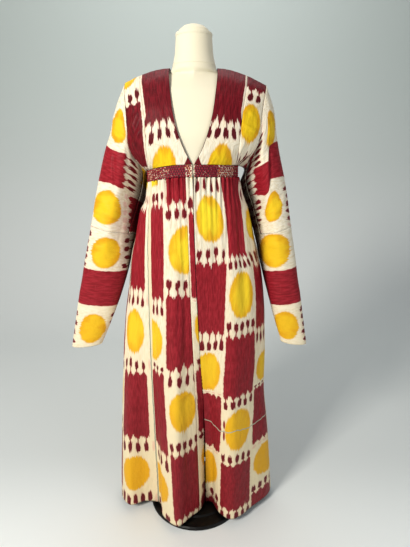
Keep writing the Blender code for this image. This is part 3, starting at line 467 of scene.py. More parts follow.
def skirt_sheet(cloth, down):
    """Points of the skirt without its gathers; cloth runs along the hem from the right."""
    top = band_point(through(CLOTH_RUN, BAND_RUN, cloth), -SEAM)
    height = BAND_BOTTOM + (HEM_HEIGHT - BAND_BOTTOM) * down
    heights = column(FLARES, "height")[::-1]
    right = through(heights, column(FLARES, "right")[::-1], height)
    middle = through(heights, column(FLARES, "middle")[::-1], height)
    left = through(heights, column(FLARES, "left")[::-1], height)
    folds = through(heights, column(FLARES, "folds")[::-1], height)
    even = np.stack([np.interp(cloth, HEM_RUN, EVEN_HEM[:, k]) for k in range(2)], axis=-1)
    hem = np.stack([np.interp(cloth, HEM_RUN, HEM_LINE[:, k]) for k in range(2)], axis=-1)
    to_left = ease((even[..., 0] + SIDE_BLEND) / (2 * SIDE_BLEND))
    share = right + (left - right) * to_left
    from_opening = np.minimum(cloth, HEM_LENGTH - cloth)
    share = (share + (middle - share) * np.exp(-((from_opening / MIDDLE_REACH) ** 2)))[..., None]
    flat = top[..., :2] * (1 - share) + even * share + (hem - even) * folds[..., None]
    below = SKIRT_LENGTH * down
    to_middle = (BAND_OPENING - CLOSED_GAP / 2) * (1 - np.exp(-below / CLOSING_LENGTH))
    to_middle = to_middle * np.clip(1 - down, 0.0, 1.0)
    side_of_opening = np.where(cloth < HEM_LENGTH / 2, 1.0, -1.0)
    flat[..., 0] += side_of_opening * to_middle * np.exp(-from_opening / CLOSING_WIDTH)
    z = top[..., 2] + (HEM_HEIGHT - top[..., 2]) * down
    return np.concatenate([flat, z[..., None]], axis=-1)


def gather_depth(cloth, down):
    """How far each gather stands out; the gathers fade at uneven lengths."""
    turns = through(CLOTH_RUN, BAND_RUN, cloth) / BAND_LENGTH * GATHERS
    number = np.round(turns * 2)
    uneven = REACH_WAVES[0] * np.sin(2.4 * number) + REACH_WAVES[1] * np.sin(5.1 * number + 1.0)
    reach = GATHER_REACH + uneven
    below = SKIRT_LENGTH * down
    deep = GATHER_DEPTH * (1.0 + 0.25 * np.sin(3.3 * number))
    return deep * np.cos(2 * math.pi * turns) * np.exp(-((below / reach) ** 1.2))


# ---------------------------------------------------------------- sleeves
def beside_armhole(turn):
    """Where on the bodice's strip a turn of the armhole lies, and how far from the shoulder."""
    turn = turn % 1.0
    in_front = turn <= 0.5
    away = np.where(in_front, turn, 1.0 - turn)
    share = np.clip(away / ARMHOLE_REACH, 0.0, 1.0)
    return np.where(in_front, SHOULDER * (1 - share), SHOULDER + (1 - SHOULDER) * share), away


def armhole(side, turn):
    """The armhole's line; turn is 0 at the shoulder, 0.5 at the underarm, then the back."""
    along, away = beside_armhole(turn)
    line = bodice_sheet(side, np.full(np.shape(turn), 2.0), along)
    sign = -1 if side == "right" else 1
    side_of_band = band_point(BAND_LENGTH * (0.25 if side == "right" else 0.75), BAND_HEIGHT)
    under = [side_of_band[0] + sign * UNDERARM_OUT, WAIST_Y, side_of_band[2] + UNDERARM_UP]
    across = np.clip((away - ARMHOLE_REACH) / (0.5 - ARMHOLE_REACH), 0.0, 1.0)[..., None]
    return line * (1 - across) + np.array(under) * across


def armhole_facing(side, turn):
    """The bodice's facing beside the armhole, which the sleeve's wall starts from."""
    along, _ = beside_armhole(turn)
    return facing(partial(held_bodice, side), np.full(np.shape(turn), 2.0), along, FLIP[side])


def station_ring(side, station, turn):
    """A ring of the sleeve at one station of its table."""
    sign = -1 if side == "right" else 1
    angle = 2 * math.pi * turn
    reach = -np.cos(angle)
    half_x = (station.inner_x - station.outer_x) / 2
    half_z = (station.inner_z - station.outer_z) / 2
    x = (station.outer_x + station.inner_x) / 2 + half_x * reach
    z = (station.outer_z + station.inner_z) / 2 + half_z * reach
    forward = np.sin(angle)
    fold = 1 - station.web * ease((reach - WEB_START) / (WEB_FULL - WEB_START))
    y = station.mid_y - np.where(forward > 0, station.front * fold, station.back) * forward
    behind = 1 + 0.8 * np.minimum(forward, 0.0)
    y = y + station.laid * behind * ease((reach - LAID_START) / (1 - LAID_START))
    return np.stack([sign * x, y, z], axis=-1)


def sleeve_rings(side, turn):
    """All of a sleeve's rings, the first one just outside the armhole."""
    rings = [armhole(side, turn)]
    rings += [station_ring(side, station, turn) for station in SLEEVES[side]]
    outward = rings[1] - rings[0]
    outward /= np.linalg.norm(outward, axis=-1, keepdims=True)
    rings[0] = rings[0] + outward * ARMHOLE_GAP
    return np.stack(rings)


def sleeve_stops(side):
    """How far down the sleeve each ring lies, from 0 at the armhole to 1 at the cuff."""
    middles = sleeve_rings(side, np.arange(SLEEVE_COLUMNS) / SLEEVE_COLUMNS).mean(axis=1)
    run = running_length(middles)
    return run / run[-1]


STOPS = {side: sleeve_stops(side) for side in SLEEVES}


def sleeve_sheet(side, turn, down):
    """Points of the sleeve's outer face on smooth lines through its rings."""
    turn, down = np.broadcast_arrays(turn, down)
    rings = sleeve_rings(side, turn)
    stops = STOPS[side]
    slope = np.diff(rings, axis=0) / np.diff(stops).reshape((-1,) + (1,) * turn.ndim + (1,))
    ends = np.concatenate([slope[:1], (slope[:-1] + slope[1:]) / 2, slope[-1:]])
    span = np.clip(np.searchsorted(stops, down) - 1, 0, len(stops) - 2)
    step = (stops[span + 1] - stops[span])[..., None]
    t = ((down - stops[span])[..., None]) / step

    def pick(values, index):
        return np.take_along_axis(values, index[None, ..., None], axis=0)[0]

    rise = pick(rings, span) * (2 * t**3 - 3 * t**2 + 1)
    rise = rise + pick(rings, span + 1) * (3 * t**2 - 2 * t**3)
    lean = pick(ends, span) * (t**3 - 2 * t**2 + t) + pick(ends, span + 1) * (t**3 - t**2)
    return rise + lean * step


def held_sleeve(side, turn, down):
    """The sleeve's sheet, which stays at its ends beyond them."""
    return sleeve_sheet(side, turn, np.clip(down, 0.0, 1.0))


STRIP_SEAM = {}
for sleeve_side, stations in SLEEVES.items():
    seam_ring = column(stations, "name").index("strip seam") + 1
    STRIP_SEAM[sleeve_side] = STOPS[sleeve_side][seam_ring]


# ---------------------------------------------------------------- walls
def facing(sheet, first, second, flip=1.0, small=0.004):
    """Unit direction out of a sheet at each place, from its two slopes."""
    along_1 = sheet(first + small, second) - sheet(first - small, second)
    along_2 = sheet(first, second + small) - sheet(first, second - small)
    out = np.cross(along_1, along_2) * flip
    return out / np.maximum(np.linalg.norm(out, axis=-1, keepdims=True), 1e-9)


def levelled(out):
    """The same facings turned level, so that an edge that they start from sits flat."""
    level = out * [1, 1, 0]
    return level / np.linalg.norm(level, axis=-1, keepdims=True)


# ---------------------------------------------------------------- uneven cloth
def scatter(x, y, seed):
    """A repeatable value from 0 to 1 for each whole place."""
    return np.mod(np.sin(x * 127.1 + y * 311.7 + seed * 74.7) * 43758.5453, 1.0)


def wander(x, y, seed):
    """Smooth unevenness from -1 to 1, with swells about one unit long."""
    x, y = np.broadcast_arrays(np.asarray(x, float), np.asarray(y, float))
    left = np.floor(x)
    low = np.floor(y)
    s = ease(x - left)
    t = ease(y - low)
    below = scatter(left, low, seed) * (1 - s) + scatter(left + 1, low, seed) * s
    above = scatter(left, low + 1, seed) * (1 - s) + scatter(left + 1, low + 1, seed) * s
    return 2 * (below * (1 - t) + above * t) - 1


# A dent runs from one place on a piece to another; depth is how far it goes in, or how far
# a ridge stands out if it is below zero. All are in centimetres along the sheet.
Dent = namedtuple("Dent", "from_a from_b to_a to_b width depth")


def crumpled(a, b, seed):
    """Thin crooked creases, from 0 between them to 1 at their lines."""
    sharp = (1 - np.abs(wander(a, b, seed))) ** 5
    return sharp * ease(wander(a * 0.6, b * 0.6, seed + 50) + 0.6)


def pressed(folds, a, b):
    """How far a table of dents presses a sheet in at each place."""
    press = np.zeros(np.broadcast(a, b).shape)
    for fold in folds:
        run_a = fold.to_a - fold.from_a
        run_b = fold.to_b - fold.from_b
        length = run_a**2 + run_b**2
        t = ((a - fold.from_a) * run_a + (b - fold.from_b) * run_b) / length
        near = np.clip(t, 0.0, 1.0)
        off = np.hypot(a - fold.from_a - near * run_a, b - fold.from_b - near * run_b)
        fade = ease(np.minimum(t, 1 - t) * 2.5 + 0.15)
        press += fold.depth * fade * np.exp(-((off / fold.width) ** 2))
    return press


# ---------------------------------------------------------------- the ikat's chart
# One repeat of the pattern is REPEAT long down the warp: a crimson bar from 0 to BAR, drops
# on stems, a yellow disc, drops again. It is as wide as a third of the loom.
REPEAT = 50.0
BAR = 24.0
EDGE = 5.75  # from the middle of a column of the pattern to its edge
DISC_EDGE = 4.8
BAR_EDGE = 5.35
COLUMN_STEP = 20.0  # how far apart two columns lie in the chart's first coordinate
COLUMN_HALF = 9.4  # how far from its middle a column may reach in it
CHART = "ikat"

# A warp is one column of the pattern on one piece: the two lines it lies between, the
# column's own coordinate on each, the chart at lengths of the warp, and mesh columns. A
# line or a coordinate is a number, or pairs of (length of the warp, value).
Warp = namedtuple("Warp", "first last at_first at_last chart columns")


def at_length(line, length):
    """A line's value at each length of the warp."""
    if isinstance(line, (int, float)):
        return np.full(np.shape(length), float(line))
    return np.interp(length, [pair[0] for pair in line], [pair[1] for pair in line])


# One repeat of a column: where on the warp each of its features starts and ends.
Repeat = namedtuple("Repeat", "bar bar_end drops drops_end disc disc_end late late_end")
REPEAT_PLACES = (0.0, BAR, 25.3, 28.1, 30.0, 44.0, 45.3, 48.1)


def repeats(*rows):
    """The chart's places from the features of each repeat; an unseen feature is None."""
    places = []
    for number, row in enumerate(rows):
        for length, place in zip(Repeat(*row), REPEAT_PLACES):
            if length is not None:
                places.append((length, REPEAT * number + place))
    before = (places[0][0] - REPEAT, places[0][1] - REPEAT)
    after = (places[-1][0] + REPEAT, places[-1][1] + REPEAT)
    return [before] + places + [after]


def even_repeats(start):
    """Repeats at the weaver's own spacing, from the start of the first bar."""
    return repeats(*[[start + REPEAT * k + place for place in REPEAT_PLACES] for k in range(4)])


COLUMN_NUMBERS = itertools.count(1)  # every column has a number, which its chances hang on


def cells(grid):
    """The four corners of each cell of a grid."""
    return np.stack([grid[:-1, :-1], grid[:-1, 1:], grid[1:, 1:], grid[1:, :-1]], axis=2)


def add_object(name, data):
    """Put a mesh, curve, light or camera in the scene."""
    made = bpy.data.objects.new(name, data)
    bpy.context.scene.collection.objects.link(made)
    return made


def add_sheet(name, points, faces, charts, wall):
    """A smooth sheet of silk that carries the chart, with a wall behind its face."""
    mesh = bpy.data.meshes.new(name)
    mesh.from_pydata((points * METRES).reshape(-1, 3), [], faces.reshape(-1, 4).tolist())
    layer = mesh.uv_layers.new(name=CHART)
    layer.data.foreach_set("uv", charts.reshape(-1).astype(np.float32))
    mesh.shade_smooth()
    made = add_object(name, mesh)
    shell = made.modifiers.new("wall", "SOLIDIFY")
    shell.thickness = wall * METRES
    shell.offset = -1.0
    return made


def woven(name, sheet, warps, rows, lengths, reach=None, flip=False, closed=False):
    """A piece of the robe as a fine sheet with the chart on it.

    sheet gives points at (across the pattern, row), and lengths the length of the warp at
    each row. Where that length differs across the pattern too, reach gives it.
    """
    places = []
    charts = []
    for warp in warps:
        share = np.linspace(0.0, 1.0, warp.columns + 1)[None, :]
        first, last, at_first, at_last = [at_length(line, lengths)[:, None] for line in warp[:4]]
        across = first + (last - first) * share
        u = COLUMN_STEP * (next(COLUMN_NUMBERS) + 0.5) + at_first + (at_last - at_first) * share
        length = reach(across, rows[:, None]) if reach else lengths[:, None]
        w = at_length(warp.chart, length) + 0 * across
        charts.append(cells(np.stack([u, w], axis=-1)))
        places.append(across if warp is warps[-1] else across[:, :-1])
    across = np.concatenate(places, axis=1)
    charts = np.concatenate(charts, axis=1)
    down = rows[:, None] + 0 * across
    points = sheet(across, down)
    if closed:
        across = across[:-1]
        down = down[:-1]
        points = points[:-1]
    index = np.arange(across.size).reshape(across.shape)
    if closed:
        index = np.vstack([index, index[:1]])
    faces = cells(index)
    if flip:
        faces = faces[:, :, ::-1]
        charts = charts[:, :, ::-1]
    return add_sheet(name, points, faces, charts, SILK_WALL), across, down


def note(made, name, values):
    """Write one value for each point of a mesh, for a material to read."""
    layer = made.data.attributes.new(name, "FLOAT", "POINT")
    layer.data.foreach_set("value", np.asarray(values, np.float32).reshape(-1))


def worn(made, node):
    """Declare a sheet of the robe in place of its solid."""
    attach(made, "root")
    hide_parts(node)


# ---------------------------------------------------------------- skirt
BACK_LEFT = HEM_LENGTH - FRONT_LEFT
SIDE_SEAM = EDGE_STRIP + FRONT_RIGHT
BACK_RIGHT_SEAM = SIDE_SEAM + LOOM_WIDTH
BACK_LEFT_SEAM = BACK_LEFT - LOOM_WIDTH
PANEL_SEAMS = [EDGE_STRIP, SIDE_SEAM, BACK_RIGHT_SEAM, BACK_LEFT_SEAM, BACK_LEFT]
CUT_WIDTHS = [EDGE_STRIP, FRONT_RIGHT, LOOM_WIDTH, BACK_LEFT_SEAM - BACK_RIGHT_SEAM, LOOM_WIDTH, FRONT_LEFT]


def from_left(*pairs):
    """A line given by (length, cloth from the left front edge)."""
    return [(length, HEM_LENGTH - cloth) for length, cloth in pairs]


# Where two columns of the pattern meet on a panel; the folds hide some of the cloth.
RIGHT_FRONT_LINE = [
    (0, 16.4), (10, 17.7), (20, 18.0), (32, 18.3),
    (63, 18.8), (80, 17.4), (94, 16.4), (111, 15.6),
]
LEFT_FRONT_LINE = from_left(
    (0, 8.5), (7, 9.7), (16, 10.9), (21, 10.8), (33, 10.0),
    (52, 9.1), (61, 8.4), (79, 8.5), (88, 7.5), (111, 7.4),
)
LEFT_CREST_LINE = from_left(
    (0, 23.0), (4, 21.2), (10, 19.8), (21, 19.6), (26, 22.4), (43, 23.0),
    (55, 24.1), (73, 23.2), (82, 21.7), (101, 20.9), (111, 20.6),
)
SELVEDGE_LINE = [(0, SIDE_SEAM - 2.2), (32, SIDE_SEAM - 2.0), (48, SIDE_SEAM - 1.2), (62, SIDE_SEAM - 0.4)]
# Where the pattern's own coordinate lies on the two front edges, which turn under.
RIGHT_TURN = [(0, -1.0), (19.5, -1.0), (47, -2.6), (69, -5.0), (111, -5.3)]
LEFT_TURN = [(0, -5.4), (20, -5.4), (35, -4.4), (48, -3.2), (62, -1.8), (82, 0.1), (97, 0.5)]

# Charts of the skirt's warps, in centimetres below the band. The hidden ones are regular.
RISING = even_repeats(8.0)
FALLING = even_repeats(-17.5)
LATE = even_repeats(9.5)
PLAIN = [(0, 29.0), (111, 29.0)]  # cream alone, between the drops and a disc

EDGE_STRIP_CHART = repeats(
    (None, None, None, None, None, None, 4.7, 7.8),
    (9.4, 34.4, None, None, 35.8, 52.2, 53.8, 55.5),
    (57.2, 80.2, None, None, 84.0, 98.0, 101.0, 103.0),
)
RIGHT_CREST_CHART = repeats(
    (-17.0, 7.2, 8.2, 10.8, 13.0, 26.9, 28.0, 30.6),
    (32.7, 56.6, 57.9, 61.4, 63.5, 76.9, 79.9, 82.8),
    (84.4, 109.1, None, None, None, None, None, None),
)
RIGHT_HOLLOW_CHART = repeats(
    (None, None, None, None, None, None, 3.1, 5.3),
    (6.9, 34.7, 36.0, 39.0, 40.8, 54.1, 55.0, 56.6),
    (57.4, 86.0, 87.5, 91.0, 93.0, 106.0, 107.3, 110.0),
)
RIGHT_SIDE_CHART = repeats(
    (None, None, None, None, None, None, 3.4, 6.0),
    (7.2, 32.7, 34.4, 37.2, 38.6, 53.3, 54.9, 58.0),
    (59.7, 84.6, 85.5, 89.4, 91.0, 104.9, 105.7, 109.9),
)
LEFT_SIDE_CHART = repeats(
    (-19.0, 1.0, None, None, 8.3, 18.6, 20.5, 24.0),
    (25.5, 46.1, 47.3, 50.5, 54.8, 65.2, None, None),
    (66.6, 86.6, None, None, 88.6, 100.5, 101.8, 104.6),
    (105.4, 127.0, None, None, None, None, None, None),
)
LEFT_CREST_CHART = repeats(
    (-5.0, 22.5, 23.2, 25.8, 26.6, 41.0, 41.5, 44.1),
    (46.1, 67.2, 68.0, 70.8, 71.2, 85.2, 86.6, 89.6),
    (90.2, 107.6, 108.6, 111.4, None, None, None, None),
)
LEFT_FRONT_CHART = repeats(
    (None, -0.8, 0.8, 3.8, 4.7, 18.0, 19.2, 22.0),
    (23.6, 46.3, 48.2, 51.3, 52.0, 65.5, None, None),
    (66.3, 87.3, None, None, 88.6, 102.6, 104.0, 106.5),
    (108.0, 131.0, None, None, None, None, None, None),
)

SKIRT = {
    "edge_strip": [Warp(0.0, EDGE_STRIP, 3.8, EDGE, EDGE_STRIP_CHART, 14)],
    "front_right": [
        Warp(EDGE_STRIP, RIGHT_FRONT_LINE, RIGHT_TURN, EDGE, RIGHT_CREST_CHART, 46),
        Warp(RIGHT_FRONT_LINE, SELVEDGE_LINE, EDGE, -1.2, RIGHT_HOLLOW_CHART, 34),
        Warp(SELVEDGE_LINE, SIDE_SEAM, EDGE, EDGE, PLAIN, 4),
    ],
    "side_right": [
        Warp(SIDE_SEAM, SIDE_SEAM + 14.5, -7.3, EDGE, RIGHT_SIDE_CHART, 48),
        Warp(SIDE_SEAM + 14.5, SIDE_SEAM + 24.5, -EDGE, EDGE, FALLING, 24),
        Warp(SIDE_SEAM + 24.5, SIDE_SEAM + 34.5, -EDGE, 6.1, RISING, 24),
    ],
    "back": [
        Warp(BACK_RIGHT_SEAM, BACK_RIGHT_SEAM + 11.5, -6.1, EDGE, FALLING, 26),
        Warp(BACK_RIGHT_SEAM + 11.5, BACK_LEFT_SEAM - 4.5, -EDGE, EDGE, RISING, 26),
        Warp(BACK_LEFT_SEAM - 4.5, BACK_LEFT_SEAM, -EDGE, -1.0, FALLING, 10),
    ],
    "side_left": [
        Warp(BACK_LEFT_SEAM, BACK_LEFT_SEAM + 11.5, -6.1, EDGE, RISING, 26),
        Warp(BACK_LEFT_SEAM + 11.5, BACK_LEFT_SEAM + 23, -EDGE, EDGE, FALLING, 26),
        Warp(BACK_LEFT_SEAM + 23, BACK_LEFT, -EDGE, 6.1, LATE, 26),
    ],
    "front_left": [
        Warp(BACK_LEFT, LEFT_CREST_LINE, 2.75, -EDGE, LEFT_SIDE_CHART, 28),
        Warp(LEFT_CREST_LINE, LEFT_FRONT_LINE, EDGE, -EDGE, LEFT_CREST_CHART, 50),
        Warp(LEFT_FRONT_LINE, HEM_LENGTH, EDGE, LEFT_TURN, LEFT_FRONT_CHART, 40),
    ],
}

# Folds and pressed creases of the skirt: cloth from the right front edge, and below the band.
SKIRT_FOLDS = [
    Dent(15.4, 65.7, 7.1, 64.9, 0.45, -0.28),
    Dent(5.8, 67.4, 3.4, 66.6, 0.4, -0.25),
    Dent(155.0, 63.8, 144.5, 66.0, 0.4, -0.30),
    Dent(155.0, 65.4, 144.0, 67.2, 0.35, -0.22),
    Dent(155.0, 64.6, 146.0, 66.6, 0.3, 0.18),
    Dent(7.0, 14.0, 9.0, 58.0, 1.4, 0.30),
    Dent(10.7, 30.0, 13.3, 50.0, 0.7, 0.20),
    Dent(18.5, 8.0, 19.0, 30.0, 0.7, 0.25),
    Dent(144.0, 6.0, 146.5, 26.0, 0.6, 0.22),
    Dent(22.5, 3.0, 24.0, 40.0, 1.5, 0.25),
    Dent(34.0, 10.0, 36.0, 70.0, 1.8, 0.30),
    Dent(46.0, 4.0, 49.0, 46.0, 1.8, 0.35),
    Dent(66.0, 6.0, 64.0, 58.0, 2.0, 0.30),
    Dent(77.0, 3.0, 79.0, 39.0, 1.6, 0.30),
    Dent(90.0, 8.0, 88.0, 66.0, 2.0, 0.35),
    Dent(103.0, 5.0, 105.0, 49.0, 1.8, 0.30),
    Dent(117.0, 4.0, 114.0, 61.0, 1.9, 0.35),
    Dent(129.0, 2.0, 127.0, 33.0, 1.5, 0.25),
    Dent(139.5, 4.0, 138.5, 44.0, 1.5, 0.30),
    Dent(149.5, 6.0, 150.5, 37.0, 1.3, 0.25),
]


PLEAT = 1.15  # width of a fine pleat under the band
PUCKER = 1.5  # from one pucker of the right front edge to the next
SEAM_DENT = 0.4  # how far a seam draws the cloth in on each side


def skirt_relief(cloth, down):
    """What the gathers, folds and seams add to the skirt's sheet."""
    below = SKIRT_LENGTH * down
    relief = gather_depth(cloth, down)
    # Fine pleats and uneven gathers die away below the band.
    pleat = np.abs(np.sin(cloth * math.pi / PLEAT + 1.4 * wander(cloth * 0.3, below * 0.05, 7)))
    relief += 0.26 * np.exp(-below / 7.0) * (np.sqrt(pleat) - 0.7)
    relief += 0.13 * np.exp(-below / 5.0) * wander(cloth * 1.9, below * 0.12, 3)
    relief += 0.24 * np.exp(-below / 18.0) * wander(cloth * 0.8, below * 0.06, 4)
    # Soft swells and crumples take over from them.
    relief += 0.24 * ease(below / 12.0) * wander(cloth * 0.23, below * 0.035, 5)
    relief += 0.06 * wander(cloth * 0.6, below * 0.09, 6)
    relief -= 0.09 * ease(below / 8.0) * crumpled(cloth * 0.22 + below * 0.05, below * 0.12, 60)
    relief -= 0.06 * crumpled(cloth * 0.35 - below * 0.09, below * 0.22, 61)
    for number, seam in enumerate(PANEL_SEAMS):
        pucker = 1 + 0.6 * wander(below * 0.9, 0.0, 10 + number)
        relief -= 0.10 * pucker * np.exp(-(((cloth - seam) / SEAM_DENT) ** 2))
    edge = np.exp(-np.clip(cloth, 0, None) / 3.0)
    relief += 0.11 * edge * np.sin(below * 2 * math.pi / PUCKER + 2 * wander(below * 0.3, 0.0, 8))
    return relief - pressed(SKIRT_FOLDS, cloth, below)


def held_skirt(steps, down):
    """The skirt's sheet, which stays at its edges beyond them; its cloth is in steps."""
    cloth = np.clip(steps * CLOTH_STEP, 0.0, HEM_LENGTH)
    return skirt_sheet(cloth, np.clip(down, 0.0, 1.0))


def skirt_silk(cloth, down):
    """Points of the skirt's silk. Its top edge sits flat against the band."""
    out = facing(held_skirt, cloth / CLOTH_STEP, down)
    out = np.where((down == 0)[..., None], levelled(out), out)
    return skirt_sheet(cloth, down) + out * skirt_relief(cloth, down)[..., None]


# Narrow marks of dye beside the left front's lower disc.
Spindle = namedtuple("Spindle", "from_left below half_width half_length")
SPINDLES = [
    Spindle(9.3, 76.2, 0.55, 1.9),
    Spindle(9.2, 80.2, 0.55, 2.2),
    Spindle(22.7, 79.5, 0.45, 3.0),
]


def skirt_marks(cloth, down):
    """How far inside a mark each place lies, in centimetres."""
    below = SKIRT_LENGTH * down
    inside = np.full(np.shape(cloth), -2.0)
    for mark in SPINDLES:
        off = np.abs(HEM_LENGTH - cloth - mark.from_left) / mark.half_width
        far = np.abs(below - mark.below) / mark.half_length
        inside = np.maximum(inside, (1 - np.hypot(off, far)) * mark.half_width)
    return inside


# The pale thread that runs slack across the left panel: length of hem and below the band.
LOOSE_THREAD = [(122.0, 78.9), (131.8, 79.1), (137.0, 79.4), (142.0, 78.2), (149.0, 78.8), (156.2, 76.6)]
THREAD_SHARE = 1.3  # how much its distance is noted too large, which draws it thinner
LINE_ZERO = 10.0  # where a noted line runs: a piece without lines reads 0, far from it
LINE_REACH = 3.0  # how far from a line its distance is still noted
# Where a bar meets a disc with no drops between them.
Bare = namedtuple("Bare", "first last from_below to_below")
BARE_MARGIN = 0.4  # how far past both its ends the drops stay away
BARE_PLACES = [
    Bare(-1.0, EDGE_STRIP, 34.0, 36.2),
    Bare(147.8, 157.0, 65.3, 66.7),
    Bare(148.6, 157.0, 88.2, 89.8),
    Bare(120.0, 134.6, 87.4, 89.8),
]


def skirt_lines(cloth, down):
    """How far each place lies from the wavy seam and from the slack thread."""
    below = SKIRT_LENGTH * down
    seam = cloth - SIDE_SEAM + 0.10 * wander(below * 0.8, 0.0, 12)
    thread = below - at_length(LOOSE_THREAD, cloth) + 0.25 * wander(cloth * 0.9, 0.0, 13)
    thread = np.where(cloth < LOOSE_THREAD[0][0], LINE_REACH, thread * THREAD_SHARE)
    return [LINE_ZERO + np.clip(line, -LINE_REACH, LINE_REACH) for line in (seam, thread)]


def bare_share(places, across, along):
    """1 where the drops are missing."""
    bare = np.zeros(np.shape(across))
    for place in places:
        inside = (across > place.first) & (across < place.last)
        inside &= (along > place.from_below - BARE_MARGIN) & (along < place.to_below + BARE_MARGIN)
        bare = np.where(inside, 1.0, bare)
    return bare


def build_skirt():
    """Six panels that are gathered into the band, with closer rows under it."""
    rows = np.concatenate([np.linspace(0.0, 0.10, 28)[:-1], np.linspace(0.10, 1.0, 168)])
    for (panel, warps), width in zip(SKIRT.items(), CUT_WIDTHS):
        warps = list(warps)
        if panel != "edge_strip":
            warps[0] = warps[0]._replace(first=warps[0].first + SEAM / 2)
        if panel != "front_left":
            warps[-1] = warps[-1]._replace(last=warps[-1].last - SEAM / 2)
        made, cloth, down = woven(f"silk_skirt_{panel}", skirt_silk, warps, rows, SKIRT_LENGTH * rows)
        note(made, "mark", skirt_marks(cloth, down))
        seam_line, thread_line = skirt_lines(cloth, down)
        note(made, "seam_line", seam_line)
        note(made, "thread_line", thread_line)
        note(made, "bare", bare_share(BARE_PLACES, cloth, SKIRT_LENGTH * down))
        made.data.materials.append(IKAT_SKIRT)
        worn(made, f"skirt_{panel}")


# ---------------------------------------------------------------- bodice
STRIP_RUN = {"right": 63.9, "left": 61.6}  # length of a strip from the front waist to the back
STRIP_CUTS = {"centre": 12.5, "side": 5.0}  # the widest that each strip gets
EDGE_ROLL = 0.055  # radius of the neck's rolled edge
EDGE_SUNK = 0.05  # how deep its middle lies in the silk

# Each strip is one column of the pattern, with its chart up from the front waist.
BODICE_WARPS = {
    ("right", "centre"): Warp(
        0.0,
        1.0,
        [(0.6, -10.6), (7.7, -6.5), (8.1, -4.9), (12.5, -4.9), (16, -5.3)],
        [(7.7, 6.5), (8.1, 3.5), (12.5, 4.6), (16, 6.1)],
        repeats(
            (None, None, None, None, None, 7.6, 8.4, 11.2),
            (12.8, 41.0, 42.5, 45.7, 48.0, 63.0, None, None),
        ),
        40,
    ),
    ("left", "centre"): Warp(
        0.0,
        1.0,
        [(0.6, -9.6), (7.7, -7.3), (8.1, -5.0), (12.5, -5.0), (16, -5.3)],
        [(7.7, 6.5), (8.1, 3.9), (12.5, 4.6), (16, 6.1)],
        repeats(
            (None, None, None, None, None, 7.7, 8.5, 11.2),
            (12.7, 40.0, 41.5, 44.5, 47.0, 61.0, None, None),
        ),
        40,
    ),
    ("right", "side"): Warp(
        1.0,
        2.0,
        5.9,
        0.6,
        repeats(
            (2.0, 20.6, 21.6, 24.6, 26.5, 40.0, 41.5, 44.0),
            (45.5, 62.0, None, None, None, None, None, None),
        ),
        20,
    ),
    ("left", "side"): Warp(
        1.0,
        2.0,
        [(19, -3.9), (20, -1.4)],
        [(19, 5.2), (20, 4.0)],
        repeats(
            (None, None, 1.0, 5.4, 8.8, 19.4, 20.0, 22.6),
            (23.6, 46.0, 47.0, 50.0, 52.0, 64.0, None, None),
        ),
        20,
    ),
}

# Dents and ridges of the bodice: across from the neck edge and up from the waist.
BODICE_FOLDS = {
    "right": [
        Dent(12.3, 18.5, 16.1, 11.8, 0.75, -0.60),
        Dent(12.4, 12.9, 15.5, 8.5, 0.6, -0.55),
        Dent(12.7, 15.4, 16.2, 10.2, 0.4, 0.22),
        Dent(13.6, 10.2, 15.4, 4.4, 0.5, 0.20),
        Dent(15.6, 22.3, 14.2, 15.4, 0.6, -0.30),
        Dent(15.5, 40.0, 20.0, 52.0, 0.9, 0.30),
    ],
    "left": [
        Dent(11.4, 13.2, 16.4, 12.0, 0.35, -0.40),
        Dent(11.4, 12.4, 16.4, 11.2, 0.4, 0.15),
        Dent(11.3, 18.4, 15.9, 15.4, 0.6, -0.20),
        Dent(12.9, 9.6, 11.9, 5.0, 0.5, -0.40),
        Dent(15.6, 8.0, 14.3, 3.0, 0.5, -0.40),
        Dent(15.5, 42.0, 20.0, 53.0, 0.9, 0.30),
    ],
}


BODICE_PLEAT = 1.1  # width of a fine pleat above the band
PLEAT_REACH = 4.2  # how far up from the band the pleats go
SIDE_FULLNESS = 1.1  # cloth of the side strip for its width on the form


def bodice_relief(side, across, along):
    """What the creases and the puckers above the band add to the bodice's sheet."""
    run = along * STRIP_RUN[side]
    past_seam = CENTRE_STRIP + (across - 1) * SIDE_FULLNESS * SIDE_STRIP
    wide = np.where(across < 1, across * CENTRE_STRIP, past_seam)
    from_band = np.minimum(run, STRIP_RUN[side] - run)
    relief = -bodice_creases(side, across, along)
    calm = ease((2.0 - across) / 0.15)  # 0 at the armhole, so that the sleeve meets it
    near = np.exp(-((from_band / PLEAT_REACH) ** 2)) * ease(from_band / 0.6 + 0.25)
    pleat = np.abs(np.sin(wide * math.pi / BODICE_PLEAT + 1.6 * wander(wide * 0.4, from_band * 0.2, 21)))
    relief += 0.20 * near * (np.sqrt(pleat) - 0.7)
    relief += 0.10 * near * wander(wide * 0.7, from_band * 0.2, 22)
    relief += 0.07 * wander(wide * 0.35, run * 0.12, 23) * calm
    relief += 0.03 * wander(wide * 1.1, run * 0.4, 24) * calm
    relief -= 0.06 * crumpled(wide * 0.35, run * 0.18 + wide * 0.08, 62) * calm
    relief -= 0.08 * np.exp(-(((across - 1) * CENTRE_STRIP / 0.5) ** 2))
    return relief - pressed(BODICE_FOLDS[side], wide, run) * calm


def bodice_silk(side, across, along):
    """Points of the bodice's silk. Its ends sit flat against the band."""
    out = facing(partial(held_bodice, side), across, along, FLIP[side])
    at_waist = ((along == 0.0) | (along == 1.0))[..., None]
    out = np.where(at_waist, levelled(out), out)
    return held_bodice(side, across, along) + out * bodice_relief(side, across, along)[..., None]


TRIANGLE_WIDTH = 2.1  # of the dyed triangle at the foot of the neck opening
TRIANGLE_HEIGHT = 3.7


